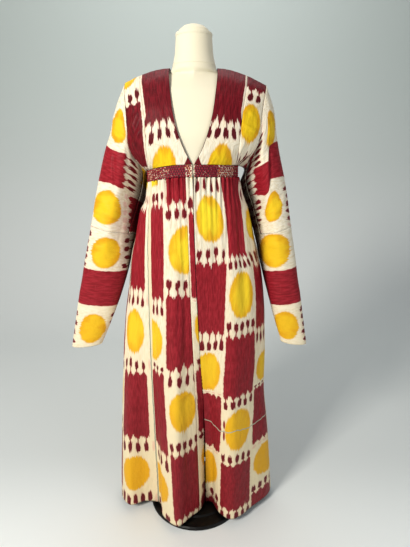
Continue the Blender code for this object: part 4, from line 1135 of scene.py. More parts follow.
def triangle_marks(side, across, along):
    """The small dyed triangle at the foot of the neck opening: how far inside it a place is."""
    run = along * STRIP_RUN[side]
    inside = TRIANGLE_WIDTH * (1 - run / TRIANGLE_HEIGHT) - across * CENTRE_STRIP
    return np.minimum(inside, TRIANGLE_HEIGHT - run)


def build_bodice():
    """Two strips a side, each in one length from the front waist to the back waist."""
    along = np.linspace(0.0, 1.0, 150)
    for side in ("right", "left"):
        sheet = partial(bodice_silk, side)
        lengths = along * STRIP_RUN[side]
        for strip, width in STRIP_CUTS.items():
            warp = BODICE_WARPS[side, strip]
            if strip == "centre":
                warp = warp._replace(last=1.0 - SEAM / 2 / CENTRE_STRIP)
            else:
                warp = warp._replace(first=1.0 + SEAM / 2 / SIDE_STRIP)
            name = f"silk_bodice_{side}_{strip}_strip"
            made, across, place = woven(name, sheet, [warp], along, lengths, flip=side == "right")
            if strip == "centre":
                note(made, "mark", triangle_marks(side, across, place))
            made.data.materials.append(IKAT_BODICE)
            worn(made, f"bodice_{side}_{strip}_strip")
        build_neck_edge(side)


def build_neck_edge(side):
    """The rolled edge of the neck opening, half sunk in the edge of the centre strip."""
    along = np.linspace(0.01, 0.99, 121)
    at_edge = np.zeros(len(along))
    edge = bodice_sheet(side, at_edge, along)
    out = facing(partial(held_bodice, side), at_edge + 0.01, along, FLIP[side])
    add_tube(f"silk_neck_edge_{side}", edge - out * EDGE_SUNK, EDGE_ROLL, NECK_EDGE)


def add_tube(name, points, radius, material):
    """A thin rolled edge or seam along a line of points."""
    curve = bpy.data.curves.new(name, "CURVE")
    curve.dimensions = "3D"
    curve.bevel_depth = radius * METRES
    curve.bevel_resolution = 2
    line = curve.splines.new("POLY")
    line.points.add(len(points) - 1)
    for place, point in zip(line.points, points * METRES):
        place.co = (*point, 1.0)
    curve.materials.append(material)
    made = add_object(name, curve)
    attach(made, "root")


# ---------------------------------------------------------------- sleeves
# A strip's warp runs round the arm. Each row is a bar or a disc: where it starts and ends
# down the sleeve, and the chart at lengths round the arm from the outer fold, front first.
Round = namedtuple("Round", "kind start end chart")
SLEEVE_ROUNDS = {
    "right": [
        Round(
            "disc", [(0, 0.052), (5, 0.030), (9.4, 0.005), (14, -0.02)],
            [(0, 0.150), (5.8, 0.125), (8.7, 0.100), (12.5, 0.070), (18, 0.06)],
            [(-30, 2), (-8, 24), (3, 30), (12.1, 44), (17.5, 50), (42, 74)],
        ),
        Round(
            "bar", [(0, 0.165), (3.9, 0.158), (5.9, 0.150), (8.2, 0.133), (11.3, 0.105), (18, 0.10)],
            [(0, 0.288), (2.4, 0.280), (5.6, 0.268), (8.0, 0.255), (11.2, 0.245), (14.1, 0.233), (20, 0.23)],
            [(-34, -26), (-11, 0), (12.5, 24), (14, 25.3), (17.8, 28.1), (27, 37)],
        ),
        Round(
            "disc", [(0, 0.315), (3.5, 0.307), (6.1, 0.292), (8.9, 0.273), (14, 0.262)],
            [(0, 0.422), (5, 0.413), (9.9, 0.413)],
            [(-26, 0), (-6, 24), (0.8, 30), (11.6, 44), (14.6, 50), (36, 74)],
        ),
        Round(
            "disc", 0.463, 0.603,
            [(-18, 0), (-1.8, 24), (1.9, 28.1), (3.8, 30), (12.9, 44), (17.2, 50), (33, 74)],
        ),
        Round("bar", 0.615, 0.785, [(-20, -14), (-8, 0), (19, 24), (24, 30)]),
        Round("disc", 0.825, 0.980, [(-14, 6), (-1.4, 24), (1.8, 28.1), (3.2, 30), (11.5, 44), (15, 50)]),
    ],
    "left": [
        Round(
            "disc", [(0, 0.050), (4.5, 0.037), (7.2, 0.018), (8.6, 0.045), (15, 0.03)],
            [(0, 0.148), (7.1, 0.138), (8.6, 0.155), (12, 0.140), (16, 0.125)],
            [
                (-30, 2), (-1, 25.3), (1.5, 28.1), (3.2, 30), (9.2, 44),
                (11, 45.3), (14.5, 48.1), (16.5, 50), (40, 74),
            ],
        ),
        Round(
            "bar",
            [(0, 0.165), (4.2, 0.143), (7.0, 0.122), (8.4, 0.170), (12, 0.152), (15.6, 0.138), (22, 0.13)],
            [(0, 0.288), (5.7, 0.258), (8.6, 0.240), (10.2, 0.275), (11.7, 0.280), (15.7, 0.258), (22, 0.25)],
            [(-34, -26), (-9, 0), (16, 24), (18, 25.3), (22.5, 28.1), (30, 37)],
        ),
        Round(
            "disc", [(0, 0.318), (5.9, 0.307), (7.9, 0.287), (10.2, 0.285), (12.5, 0.302), (16, 0.285)],
            [(0, 0.427), (6.5, 0.408), (10.7, 0.400), (15, 0.410)],
            [
                (-26, 0), (-1, 24), (0.4, 25.3), (3.0, 28.1), (4.8, 30),
                (11.1, 44), (12.6, 45.3), (15.2, 48.1), (17.2, 50), (36, 74),
            ],
        ),
        Round(
            "disc", 0.453, 0.610,
            [(-18, 0), (-3, 24), (-1.5, 25.3), (0.6, 28.1), (3.6, 30), (14.5, 44), (17.5, 50), (33, 74)],
        ),
        Round("bar", 0.625, 0.792, [(-20, -14), (-8, 0), (19, 24), (24, 30)]),
        Round(
            "disc", 0.825, 0.975,
            [(-14, 6), (-1.4, 24), (0.2, 25.3), (1.9, 28.1), (3.2, 30), (11.5, 44), (15, 50)],
        ),
    ],
}
UPPER_ROUNDS = 3  # those on the upper strip
GUSSET_ROUNDS = {
    "right": [
        Round("disc", 0.02, 0.19, [(0, 31), (6, 40), (20, 60)]),
        Round("bar", 0.255, 0.43, [(0, 3), (20, 22)]),
    ],
    "left": [
        Round("bar", 0.03, 0.20, [(0, -5), (1.6, 0), (20, 22)]),
        Round("bar", 0.23, 0.43, [(0, -5), (1.6, 0), (20, 22)]),
    ],
}

# Folds of a sleeve: round the arm from its outer edge, and down from the armhole.
SLEEVE_FOLDS = {
    "right": [
        Dent(2.6, 4.0, 3.4, 7.0, 0.4, 0.25),
        Dent(3.2, 6.6, 6.0, 10.5, 0.4, 0.25),
        Dent(5.8, 10.2, 8.4, 19.0, 0.4, 0.30),
        Dent(4.4, 6.6, 7.2, 10.5, 0.5, -0.25),
        Dent(7.0, 10.2, 9.6, 19.0, 0.6, -0.30),
        Dent(12.0, 5.0, 14.0, 15.0, 0.8, -0.40),
        Dent(3.0, 22.0, 12.0, 26.0, 0.7, 0.18),
        Dent(2.0, 34.0, 13.0, 38.0, 0.9, 0.20),
        Dent(4.0, 47.0, 11.0, 44.0, 0.8, 0.15),
        Dent(-9.0, 5.0, -10.0, 24.0, 1.0, -0.30),
        Dent(-3.0, 30.0, -12.0, 36.0, 1.2, 0.22),
    ],
    "left": [
        Dent(6.6, 3.0, 7.6, 9.0, 0.5, -0.35),
        Dent(7.3, 8.6, 8.2, 18.5, 0.6, -0.45),
        Dent(7.8, 3.5, 8.6, 9.0, 0.45, 0.30),
        Dent(8.5, 8.6, 9.4, 18.5, 0.5, 0.35),
        Dent(9.3, 18.0, 12.5, 22.0, 0.5, 0.25),
        Dent(2.0, 22.0, 9.0, 26.0, 0.7, 0.16),
        Dent(3.0, 36.0, 13.0, 33.0, 0.9, 0.20),
        Dent(4.0, 50.0, 11.0, 47.0, 0.8, 0.15),
        Dent(-9.0, 4.0, -9.5, 23.0, 1.0, -0.30),
        Dent(-3.0, 32.0, -11.0, 37.0, 1.2, 0.22),
    ],
}
SLEEVE_RUN = {"right": 69.0, "left": 67.7}  # length of cloth from the armhole to the cuff
UPPER_ROUND_AT = 0.2  # share of the sleeve's length at which an upper strip is measured
LOWER_ROUND_AT = 0.6
GUSSET_CUT = 6.2  # the widest that the gusset gets
SLEEVE_PUCKER = 0.9  # from one pucker of a sleeve's head to the next
SLEEVE_BARE = {"right": [Bare(11.9, 30.0, 18.0, 29.5)], "left": []}


def arc_table(side):
    """Length round the sleeve from its outer fold, for each turn and place down it."""
    turns = np.linspace(-0.5, 0.5, 241)
    downs = np.linspace(0.0, 1.0, 41)
    ring = sleeve_sheet(side, turns[:, None], downs[None, :])
    legs = np.linalg.norm(np.diff(ring, axis=0), axis=-1)
    run = np.concatenate([np.zeros((1, len(downs))), np.cumsum(legs, axis=0)])
    return turns, downs, run - run[len(turns) // 2]


ARCS = {side: arc_table(side) for side in SLEEVES}


def arc(side, turn, down):
    """Length round the sleeve at one place; the front is above zero."""
    turns, downs, run = ARCS[side]
    turn, down = np.broadcast_arrays(turn, down)
    column_at = np.clip(down, 0.0, 1.0) * (len(downs) - 1)
    row_at = (np.clip(turn, -0.5, 0.5) - turns[0]) / (turns[1] - turns[0])
    place = np.clip(np.floor(column_at).astype(int), 0, len(downs) - 2)
    row = np.clip(np.floor(row_at).astype(int), 0, len(turns) - 2)
    s = column_at - place
    t = row_at - row
    first = run[row, place] * (1 - t) + run[row + 1, place] * t
    second = run[row, place + 1] * (1 - t) + run[row + 1, place + 1] * t
    return first * (1 - s) + second * s


def round_reach(side, down, turn):
    """Length of a sleeve's warp, which runs round the arm."""
    return arc(side, turn, down)


def gusset_reach(side, down, turn):
    """Length of the gusset's warp, round from its front seam to its back seam."""
    front_seam = arc(side, GUSSET_FIRST / SLEEVE_COLUMNS, down)
    across = arc(side, np.where(turn > 0.5, 1.0 - turn, turn), down) - front_seam
    whole = 2 * (arc(side, 0.5, down) - front_seam)
    return np.where(turn > 0.5, whole - across, across)


def sleeve_relief(side, turn, down):
    """What the folds add to the sleeve's sheet."""
    inner = np.where(turn > 0.5, turn - 1.0, turn)
    around = arc(side, inner, down)
    run = down * SLEEVE_RUN[side]
    calm = ease(down / 0.05)
    relief = 0.16 * wander(around * 0.16, run * 0.10, 31) + 0.04 * wander(around * 0.5, run * 0.35, 32)
    relief -= 0.07 * crumpled(around * 0.16 + run * 0.05, run * 0.22, 63)
    seam = STRIP_SEAM[side] * SLEEVE_RUN[side]
    relief -= 0.08 * np.exp(-(((run - seam) / 0.4) ** 2))
    pucker = 0.05 * np.sin(around * 2 * math.pi / SLEEVE_PUCKER + 2 * wander(around * 0.4, 0.0, 33))
    relief += pucker * np.exp(-((run / 2.0) ** 2)) * ease(run / 0.4)
    return (relief - pressed(SLEEVE_FOLDS[side], around, run)) * calm


def sleeve_silk(side, down, turn):
    """Points of a sleeve's silk. Beside the bodice its head faces as the bodice does."""
    out = facing(partial(held_sleeve, side), turn, down, -FLIP[side])
    beside_bodice = np.abs(turn % 1.0 - 0.5) > 0.5 / SLEEVE_COLUMNS
    at_head = ((down <= 0.0) & beside_bodice)[..., None]
    out = np.where(at_head, armhole_facing(side, turn), out)
    return held_sleeve(side, turn, down) + out * sleeve_relief(side, turn, down)[..., None]


def round_warps(rounds, start, end, columns):
    """Warps for the rounds of one strip of a sleeve, which share it between start and end."""
    bends = [0.0]
    for piece in rounds:
        for line in (piece.start, piece.end):
            if isinstance(line, list):
                bends += [pair[0] for pair in line]
    arcs = np.unique(bends)
    tops = [at_length(piece.start, arcs) for piece in rounds]
    feet = [at_length(piece.end, arcs) for piece in rounds]
    edges = [np.full(len(arcs), start)]
    edges += [(foot + top) / 2 for foot, top in zip(feet, tops[1:])]
    edges.append(np.full(len(arcs), end))
    warps = []
    for piece, top, foot, first, last in zip(rounds, tops, feet, edges, edges[1:]):
        half = DISC_EDGE if piece.kind == "disc" else BAR_EDGE
        slope = 2 * half / (foot - top)
        middle = (top + foot) / 2
        at_first = np.clip((first - middle) * slope, -COLUMN_HALF, COLUMN_HALF)
        at_last = np.clip((last - middle) * slope, -COLUMN_HALF, COLUMN_HALF)
        count = max(2, round(columns * float(np.mean(last - first)) / (end - start)))
        lines = [list(zip(arcs, values)) for values in (first, last, at_first, at_last)]
        warps.append(Warp(*lines, piece.chart, count))
    return warps


def build_sleeves():
    """Each sleeve: an upper strip, the gusset that closes it inside, and a lower strip."""
    gap = SEAM / 2 / SLEEVE_LENGTH
    turn_gap = SEAM / 2 / SLEEVE_ROUND
    first = GUSSET_FIRST / SLEEVE_COLUMNS
    last = GUSSET_LAST / SLEEVE_COLUMNS
    rest_turns = np.linspace(last - 1.0 + turn_gap, first - turn_gap, 92)
    gusset_turns = np.linspace(first + turn_gap, last - turn_gap, 26)
    all_turns = np.linspace(-0.5, 0.5, 97)
    for side in ("right", "left"):
        seam = STRIP_SEAM[side]
        rounds = SLEEVE_ROUNDS[side]
        upper = round_warps(rounds[:UPPER_ROUNDS], 0.0, seam - gap, 78)
        lower = round_warps(rounds[UPPER_ROUNDS:], seam + gap, 1.0, 96)
        gusset = round_warps(GUSSET_ROUNDS[side], 0.0, seam - gap, 70)
        upper_round = arc(side, first, UPPER_ROUND_AT) * 2
        lower_round = arc(side, 0.5, LOWER_ROUND_AT) * 2
        reach = partial(round_reach, side)
        for strip, warps, turns, length, around, share in (
            ("upper", upper, rest_turns, reach, upper_round, seam),
            ("gusset", gusset, gusset_turns, partial(gusset_reach, side), GUSSET_CUT, seam),
            ("lower", lower, all_turns, reach, lower_round, 1 - seam),
        ):
            made, downs, turned = woven(
                f"silk_sleeve_{side}_{strip}",
                partial(sleeve_silk, side),
                warps,
                turns,
                0 * turns if strip == "gusset" else arc(side, turns, UPPER_ROUND_AT),
                length,
                flip=side == "right",
                closed=strip == "lower",
            )
            place = arc(side, np.where(turned > 0.5, 1.0 - turned, turned), downs)
            note(made, "bare", bare_share(SLEEVE_BARE[side], place, downs * SLEEVE_RUN[side]))
            made.data.materials.append(IKAT_SLEEVE)
            worn(made, f"sleeve_{side}_{strip}")


# ---------------------------------------------------------------- waistband
# How much pale thread shows between the crimson ribs, by length of band from its front end.
Flecks = namedtuple("Flecks", "start end amount")
BAND_FLECKS = {
    "right": [
        Flecks(0.0, 0.5, 1.0),
        Flecks(0.5, 2.0, 0.45),
        Flecks(2.0, 6.6, 0.0),
        Flecks(6.6, 13.0, 0.30),
        Flecks(13.0, 18.0, 0.42),
        Flecks(18.0, 23.0, 0.1),
        Flecks(23.0, 30.0, 0.5),
        Flecks(30.0, 37.6, 0.15),
    ],
    "left": [
        Flecks(0.0, 0.3, 0.5),
        Flecks(0.3, 6.4, 0.10),
        Flecks(6.4, 12.5, 0.50),
        Flecks(12.5, 17.0, 0.2),
        Flecks(17.0, 22.0, 0.6),
        Flecks(22.0, 29.0, 0.1),
        Flecks(29.0, 37.6, 0.45),
    ],
}
FLECKS_BLEND = 0.2  # how far inside its stretch an amount of flecks starts
STITCH_ROWS = 5
RIBS_A_GATHER = 2


def smocking(run, height):
    """How far the puffs between stitch rows and the ribs stand out, from 0 to about 1."""
    row = height / BAND_HEIGHT * STITCH_ROWS
    puff = np.sqrt(np.abs(np.sin(np.pi * row)) + 0.02)
    shift = np.where(np.floor(row) % 2 == 0, 0.0, 0.5)
    uneven = 0.35 * wander(run * 1.3, height * 0.8, 41)
    ribs = run / BAND_LENGTH * GATHERS * RIBS_A_GATHER
    return puff, 0.5 - 0.5 * np.cos(2 * np.pi * (ribs + shift + uneven))


def fleck_amounts(side, run):
    """How much pale thread shows at each length of the band."""
    from_front = run if side == "right" else BAND_LENGTH - run
    places = []
    amounts = []
    for zone in BAND_FLECKS[side]:
        places += [zone.start + FLECKS_BLEND, zone.end - FLECKS_BLEND]
        amounts += [zone.amount, zone.amount]
    return np.interp(from_front, places, amounts)


def build_band():
    """The smocked band in two lengths that meet at the centre back."""
    middle = BAND_LENGTH / 2
    halves = [("right", 0.0, middle - SEAM / 2), ("left", middle + SEAM / 2, BAND_LENGTH)]
    heights = np.linspace(0.0, BAND_HEIGHT, 31)
    for side, start, end in halves:
        run, height = np.meshgrid(np.linspace(start, end, 341), heights)
        angle = band_angle(run)
        out = np.stack([-np.sin(angle), -np.cos(angle), 0 * angle], axis=-1)
        puff, rib = smocking(run, height)
        swell = ease(np.minimum(height, BAND_HEIGHT - height) / 0.25) * 0.85 + 0.15
        relief = BAND_RIB * swell * (0.1 + 1.3 * puff * rib)
        points = band_point(run, height) + out * relief[..., None]
        index = np.arange(run.size).reshape(run.shape)
        outwards = [0, 3, 2, 1]  # each cell's corners, so that it faces out
        faces = cells(index)[:, :, outwards]
        charts = cells(np.stack([run, height], axis=-1))[:, :, outwards]
        made = add_sheet(f"silk_waistband_{side}", points, faces, charts, BAND_WALL)
        note(made, "flecks", fleck_amounts(side, run))
        # How deep in a groove each place lies: the material paints shade there and shows its stitches there.
        note(made, "groove", 1 - rib * puff)
        made.data.materials.append(SMOCKED)
        worn(made, f"waistband_{side}")


# ---------------------------------------------------------------- form and stand
def form_rings():
    """Points of the form, a rounded ring at each height."""
    turn = np.linspace(0, 2 * math.pi, 129)[:-1]
    heights = np.linspace(FORM_BOTTOM, NECK_TOP, 190)
    at = {name: through(column(FORM, "height"), column(FORM, name), heights) for name in Girth._fields[2:]}
    rings = []
    for k, height in enumerate(heights):
        power = 2 / at["power"][k]
        x = at["half"][k] * np.sign(np.cos(turn)) * np.abs(np.cos(turn)) ** power
        deep = np.where(np.sin(turn) < 0, at["front"][k], at["back"][k])
        y = deep * np.sign(np.sin(turn)) * np.abs(np.sin(turn)) ** power
        rings.append(np.stack([x + at["mid_x"][k], y + at["mid_y"][k], 0 * x + height], axis=-1))
    return np.array(rings)


def build_form():
    """The limbless form and its neck's seam; the cap and the stand are finished as they are."""
    rings = form_rings()
    index = np.arange(rings[..., 0].size).reshape(rings.shape[:2])
    faces = cells(np.hstack([index, index[:, :1]])).reshape(-1, 4).tolist()
    faces += [tuple(index[0])[::-1], tuple(index[-1])]
    mesh = bpy.data.meshes.new("jersey_form")
    mesh.from_pydata((rings * METRES).reshape(-1, 3), [], faces)
    mesh.shade_smooth()
    mesh.set_sharp_from_angle(angle=math.radians(60))
    mesh.materials.append(JERSEY)
    made = add_object("jersey_form", mesh)
    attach(made, "root")
    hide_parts("form_torso")
    half = float(through(column(FORM, "height"), column(FORM, "half"), NECK_SEAM))
    deep = float(through(column(FORM, "height"), column(FORM, "front"), NECK_SEAM))
    bend = np.linspace(0, 2 * math.pi, 97)
    ring = np.stack([half * np.cos(bend), 0.1 + deep * np.sin(bend), 0 * bend + NECK_SEAM], axis=-1)
    add_tube("jersey_neck_seam", ring, NECK_SEAM_ROLL, JERSEY)
    for name, material in (("form_neck_cap", JERSEY), ("stand_foot", ENAMEL), ("stand_pole", ENAMEL)):
        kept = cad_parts[name]
        kept.data.materials.clear()
        kept.data.materials.append(material)


# ---------------------------------------------------------------- materials
def colour(code):
    """A hex colour as linear red, green, blue and 1."""
    parts = [int(code[k : k + 2], 16) / 255 for k in (0, 2, 4)]
    return tuple(c / 12.92 if c <= 0.04045 else ((c + 0.055) / 1.055) ** 2.4 for c in parts) + (1.0,)


def node(tree, kind, inputs=None, **settings):
    """Add one node with its settings; an input is a value or the socket that feeds it."""
    made = tree.nodes.new("ShaderNode" + kind)
    for name, value in settings.items():
        setattr(made, name, value)
    for place, value in (inputs or {}).items():
        if isinstance(value, bpy.types.NodeSocket):
            tree.links.new(value, made.inputs[place])
        else:
            made.inputs[place].default_value = value
    return made


def surface(name, roughness, **settings):
    """A new material, its tree and its shader, with values set straight on the shader."""
    made = bpy.data.materials.new(name)
    made.use_nodes = True
    shader = made.node_tree.nodes["Principled BSDF"]
    shader.inputs["Roughness"].default_value = roughness
    for place, value in settings.items():
        shader.inputs[place.replace("_", " ")].default_value = value
    return made, made.node_tree, shader


# A step of arithmetic: its name, what it does, and up to three values or earlier steps.
Step = namedtuple("Step", "name does a b c", defaults=(0.0, 0.0))


def work_out(tree, steps, known):
    """Add a Math node for each step and keep its socket by name in known."""
    for step in steps:
        values = (step.a, step.b, step.c)
        given = {k: known[value] if isinstance(value, str) else value for k, value in enumerate(values)}
        known[step.name] = node(tree, "Math", given, operation=step.does).outputs[0]


# Noise drawn out down the warp or across it, by how many of its cells a centimetre has each
# way. Real threads lie about 0.4 mm apart. The finest here are 1.4 mm, so that they show.
Streaks = namedtuple("Streaks", "name across along detail")
STREAKS = [
    Streaks("thread_slip", 4.5, 0.09, 1.0),  # each few threads slip by themselves
    Streaks("group_slip", 1.1, 0.12, 1.0),  # and in groups of 9 mm
    Streaks("waver", 0.35, 0.7, 1.0),  # the edges of a bar waver every 14 mm
    Streaks("warp_fine", 7.0, 0.22, 2.0),
    Streaks("warp_wide", 0.35, 0.10, 2.0),
    Streaks("weft", 0.25, 5.0, 2.0),  # weft threads 2 mm apart, coarser than real ones too
    Streaks("worn_patches", 2.2, 0.35, 5.0),
    Streaks("crumple", 0.55, 0.28, 4.0),  # crumples 18 mm wide
]
THREAD_SLIP = 2.6  # cm down the warp
GROUP_SLIP = 1.5
EDGE_WAVER = 0.45

# The repeat, worked out from the chart: u across the columns, w down the warp. away is the
# distance from the middle of a bar, so 25 is the middle of a disc.
PLACE_STEPS = [
    Step("thread_shift", "MULTIPLY_ADD", "thread_slip", THREAD_SLIP, -THREAD_SLIP / 2),
    Step("group_shift", "MULTIPLY_ADD", "group_slip", GROUP_SLIP, -GROUP_SLIP / 2),
    Step("sway", "MULTIPLY_ADD", "waver", EDGE_WAVER, -EDGE_WAVER / 2),
    Step("slot", "MULTIPLY", "u", 1 / COLUMN_STEP),
    Step("column", "FLOOR", "slot"),
    Step("inside", "FRACT", "slot"),
    Step("straight", "MULTIPLY_ADD", "inside", COLUMN_STEP, -COLUMN_STEP / 2),
    Step("across", "ADD", "straight", "sway"),
    Step("thread_w", "ADD", "w", "thread_shift"),
    Step("shifted_w", "ADD", "thread_w", "group_shift"),
    Step("turns", "MULTIPLY_ADD", "shifted_w", 1 / REPEAT, 0.5 - BAR / 2 / REPEAT),
    Step("repeat", "FLOOR", "turns"),
    Step("in_repeat", "FRACT", "turns"),
    Step("signed", "MULTIPLY_ADD", "in_repeat", REPEAT, -REPEAT / 2),
    Step("away", "ABSOLUTE", "signed"),
    Step("below", "GREATER_THAN", "signed", 0.0),
    Step("wide", "ABSOLUTE", "across"),
]

# Four or five drops hang on each end of a bar, by chance. Each is a long head on a thin
# stem. A field is positive inside its shape, and the step called soft blurs its edge.
FOUR_PITCH = 2.75  # how far apart four drops hang
FIVE_PITCH = 2.30
HEAD_AT = 14.75  # away of the middle of a head
HEAD_HALF = 1.45  # half its length
STEM_HALF = 0.20
STEM_FIRST = 11.0
STEM_LAST = 14.4
DISC_HALF = 7.0  # half a disc's length down the warp
LINE_HALF = 0.22  # half width of a pale thread
DROP_STEPS = [
    Step("five", "GREATER_THAN", "chance", 0.35),
    Step("pitch", "MULTIPLY_ADD", "five", FIVE_PITCH - FOUR_PITCH, FOUR_PITCH),
    Step("half_step", "MULTIPLY_ADD", "five", -0.5, 0.5),
    Step("count_at", "DIVIDE", "across", "pitch"),
    Step("place", "ADD", "count_at", "half_step"),
    Step("number", "ROUND", "place"),
    Step("off_share", "SUBTRACT", "place", "number"),
    Step("off_width", "MULTIPLY", "off_share", "pitch"),
    Step("off", "ABSOLUTE", "off_width"),
    Step("end_seed", "MULTIPLY_ADD", "repeat", 2.0, "below"),
    Step("drop_seed", "MULTIPLY_ADD", "column", 17.0, "number"),
]
HEAD_STEPS = [
    Step("late", "MULTIPLY_ADD", "drop_late", 1.0, -0.5),
    Step("reached", "ADD", "away", "late"),
    Step("half_width", "MULTIPLY_ADD", "drop_size", 0.22, 0.60),
    Step("head_side", "DIVIDE", "off", "half_width"),
    Step("head_at", "SUBTRACT", "reached", HEAD_AT),
    Step("head_share", "DIVIDE", "head_at", HEAD_HALF),
    Step("head_long", "ABSOLUTE", "head_share"),
    Step("side_power", "POWER", "head_side", 2.6),
    Step("long_power", "POWER", "head_long", 2.6),
    Step("head_sum", "ADD", "side_power", "long_power"),
    Step("head_field", "SUBTRACT", 1.0, "head_sum"),
    Step("head_soft", "MULTIPLY_ADD", "head_field", 2.2, 0.5),
    Step("stem_field", "SUBTRACT", STEM_HALF, "off"),
    Step("stem_soft", "MULTIPLY_ADD", "stem_field", 6.0, 0.4),
    Step("stem_before", "LESS_THAN", "reached", STEM_LAST),
    Step("stem", "MULTIPLY", "stem_soft", "stem_before"),
    Step("stem_after", "GREATER_THAN", "away", STEM_FIRST),
    Step("stem_only", "MULTIPLY", "stem", "stem_after"),
]
# A bar's ends are notched between the drops. A noted mark is red too, and a bare stretch
# shows no drops.
BAR_STEPS = [
    Step("notch_depth", "MULTIPLY_ADD", "notch_chance", 0.9, 0.75),
    Step("notch_share", "MULTIPLY", "off", 0.95),
    Step("notch", "MULTIPLY", "notch_share", "notch_depth"),
    Step("bar_end", "SUBTRACT", BAR / 2 + 0.25, "notch"),
    Step("bar_long", "SUBTRACT", "bar_end", "away"),
    Step("bar_side", "SUBTRACT", BAR_EDGE, "wide"),
    Step("bar_side_soft", "MULTIPLY", "bar_side", 2.0),
    Step("bar_field", "MINIMUM", "bar_long", "bar_side_soft"),
    Step("bar_soft", "MULTIPLY_ADD", "bar_field", 2.6, 0.5),
    Step("end_marks", "MAXIMUM", "head_soft", "stem_only"),
    Step("inside_column", "MULTIPLY_ADD", "bar_side", 4.0, 1.2),
    Step("all_marks", "MINIMUM", "end_marks", "inside_column"),
    Step("kept_marks", "MULTIPLY_ADD", "bare", -9.0, "all_marks"),
    Step("pattern_red", "MAXIMUM", "kept_marks", "bar_soft"),
    Step("mark_soft", "MULTIPLY", "mark", 5.0),
    Step("red_sum", "MAXIMUM", "pattern_red", "mark_soft"),
    Step("halo_bar", "MULTIPLY_ADD", "bar_field", 0.9, 0.9),
    Step("halo_head", "MULTIPLY_ADD", "head_field", 0.45, 0.75),
    Step("halo_sum", "MAXIMUM", "halo_bar", "halo_head"),
]
# Discs, the pale threads, and the noise in the dye and in the weave's relief.
DISC_STEPS = [
    Step("disc_far", "SUBTRACT", REPEAT / 2, "away"),
    Step("disc_long", "DIVIDE", "disc_far", DISC_HALF),
    Step("disc_side", "DIVIDE", "across", DISC_EDGE),
    Step("disc_long_2", "MULTIPLY", "disc_long", "disc_long"),
    Step("disc_sum", "MULTIPLY_ADD", "disc_side", "disc_side", "disc_long_2"),
    Step("disc_size", "SQRT", "disc_sum"),
    Step("disc_soft", "MULTIPLY_ADD", "disc_size", -8.0, 8.5),
    Step("rim_even", "MULTIPLY_ADD", "disc_size", 0.55, -0.30),
    Step("rim_sum", "ADD", "rim_even", "warp_wide"),
    Step("from_seam", "SUBTRACT", "seam_line", LINE_ZERO),
    Step("seam_side", "ABSOLUTE", "from_seam"),
    Step("seam_far", "MULTIPLY", "seam_side", 0.75),
    Step("from_thread", "SUBTRACT", "thread_line", LINE_ZERO),
    Step("thread_far", "ABSOLUTE", "from_thread"),
    Step("line_far", "MINIMUM", "seam_far", "thread_far"),
    Step("on_line", "LESS_THAN", "line_far", LINE_HALF),
    Step("threads", "ADD", "warp_fine", "weft"),
]

# How far something covers what lies under it: 0 up to start, and most from end on.
Cover = namedtuple("Cover", "name by start end most kind", defaults=(1.0, "SMOOTHSTEP"))
COVERS = [
    Cover("red_share", "red_sum", 0.0, 1.0),
    Cover("disc_share", "disc_soft", 0.0, 1.0),
    Cover("low", "height", 1.05, 0.25, 1.0, "LINEAR"),  # painted shade: less light reaches the robe lower down, so its colours are painted darker there, the reds less so
    Cover("low_red", "height", 1.05, 0.25, 0.4, "LINEAR"),
    Cover("ivory_patches", "worn_patches", 0.35, 0.75),
    Cover("halo", "halo_sum", 0.0, 1.3, 0.42),  # red dye has bled round a bar and a drop
    Cover("rim", "rim_sum", 0.42, 0.80),
    Cover("yellow_warp", "warp_fine", 0.5, 1.1),
    Cover("red_patches", "worn_patches", 0.36, 0.68),
    Cover("red_warp", "warp_fine", 0.60, 1.0),
    Cover("red_weft", "weft", 0.60, 1.0),
    Cover("head", "head_soft", 0.4, 1.4, 0.6),
    Cover("open", "open_share", 0.18, 0.62),
]
# Colours that the silks share: dyes, and painted shade for the lower robe and for silk deep in a gap.
SHARED_DYES_AND_SHADES = {
    "ivory": "f4ebd6",
    "worn_ivory": "e0d0ae",
    "low_ivory": "e6d6b0",
    "bled_red": "dc8a86",
    "low_yellow": "e0a61c",
    "dull_red": "5e1c1e",
    "head_red": "4a0a14",
    "pale_thread": "a9ab94",
    "deep_gap": "2a080c",
}
# Each layer lays one colour over another as far as a cover reaches, and names the result.
Layer = namedtuple("Layer", "name by under over")
LAYERS = [
    Layer("cream", "ivory_patches", "ivory", "worn_ivory"),
    # painted shade: the ivory is painted darker lower down
    Layer("cream", "low", "cream", "low_ivory"),
    Layer("cream", "halo", "cream", "bled_red"),
    Layer("gold", "rim", "yellow", "deep_yellow"),
    Layer("gold", "yellow_warp", "gold", "deep_yellow"),
    # painted shade: the yellow is painted darker lower down
    Layer("gold", "low", "gold", "low_yellow"),
    Layer("crimson", "red_patches", "deep_red", "red"),
    Layer("crimson", "red_warp", "crimson", "worn_red"),
    Layer("crimson", "red_weft", "crimson", "worn_red"),
    # painted shade: the red is painted darker lower down
    Layer("crimson", "low_red", "crimson", "dull_red"),
    Layer("crimson", "head", "crimson", "head_red"),
    Layer("dyed", "disc_share", "cream", "gold"),
    Layer("dyed", "red_share", "dyed", "crimson"),
    Layer("dyed", "on_line", "dyed", "pale_thread"),
    # painted shade: silk deep in a gap is painted near black
    Layer("shown", "open", "deep_gap", "dyed"),
]


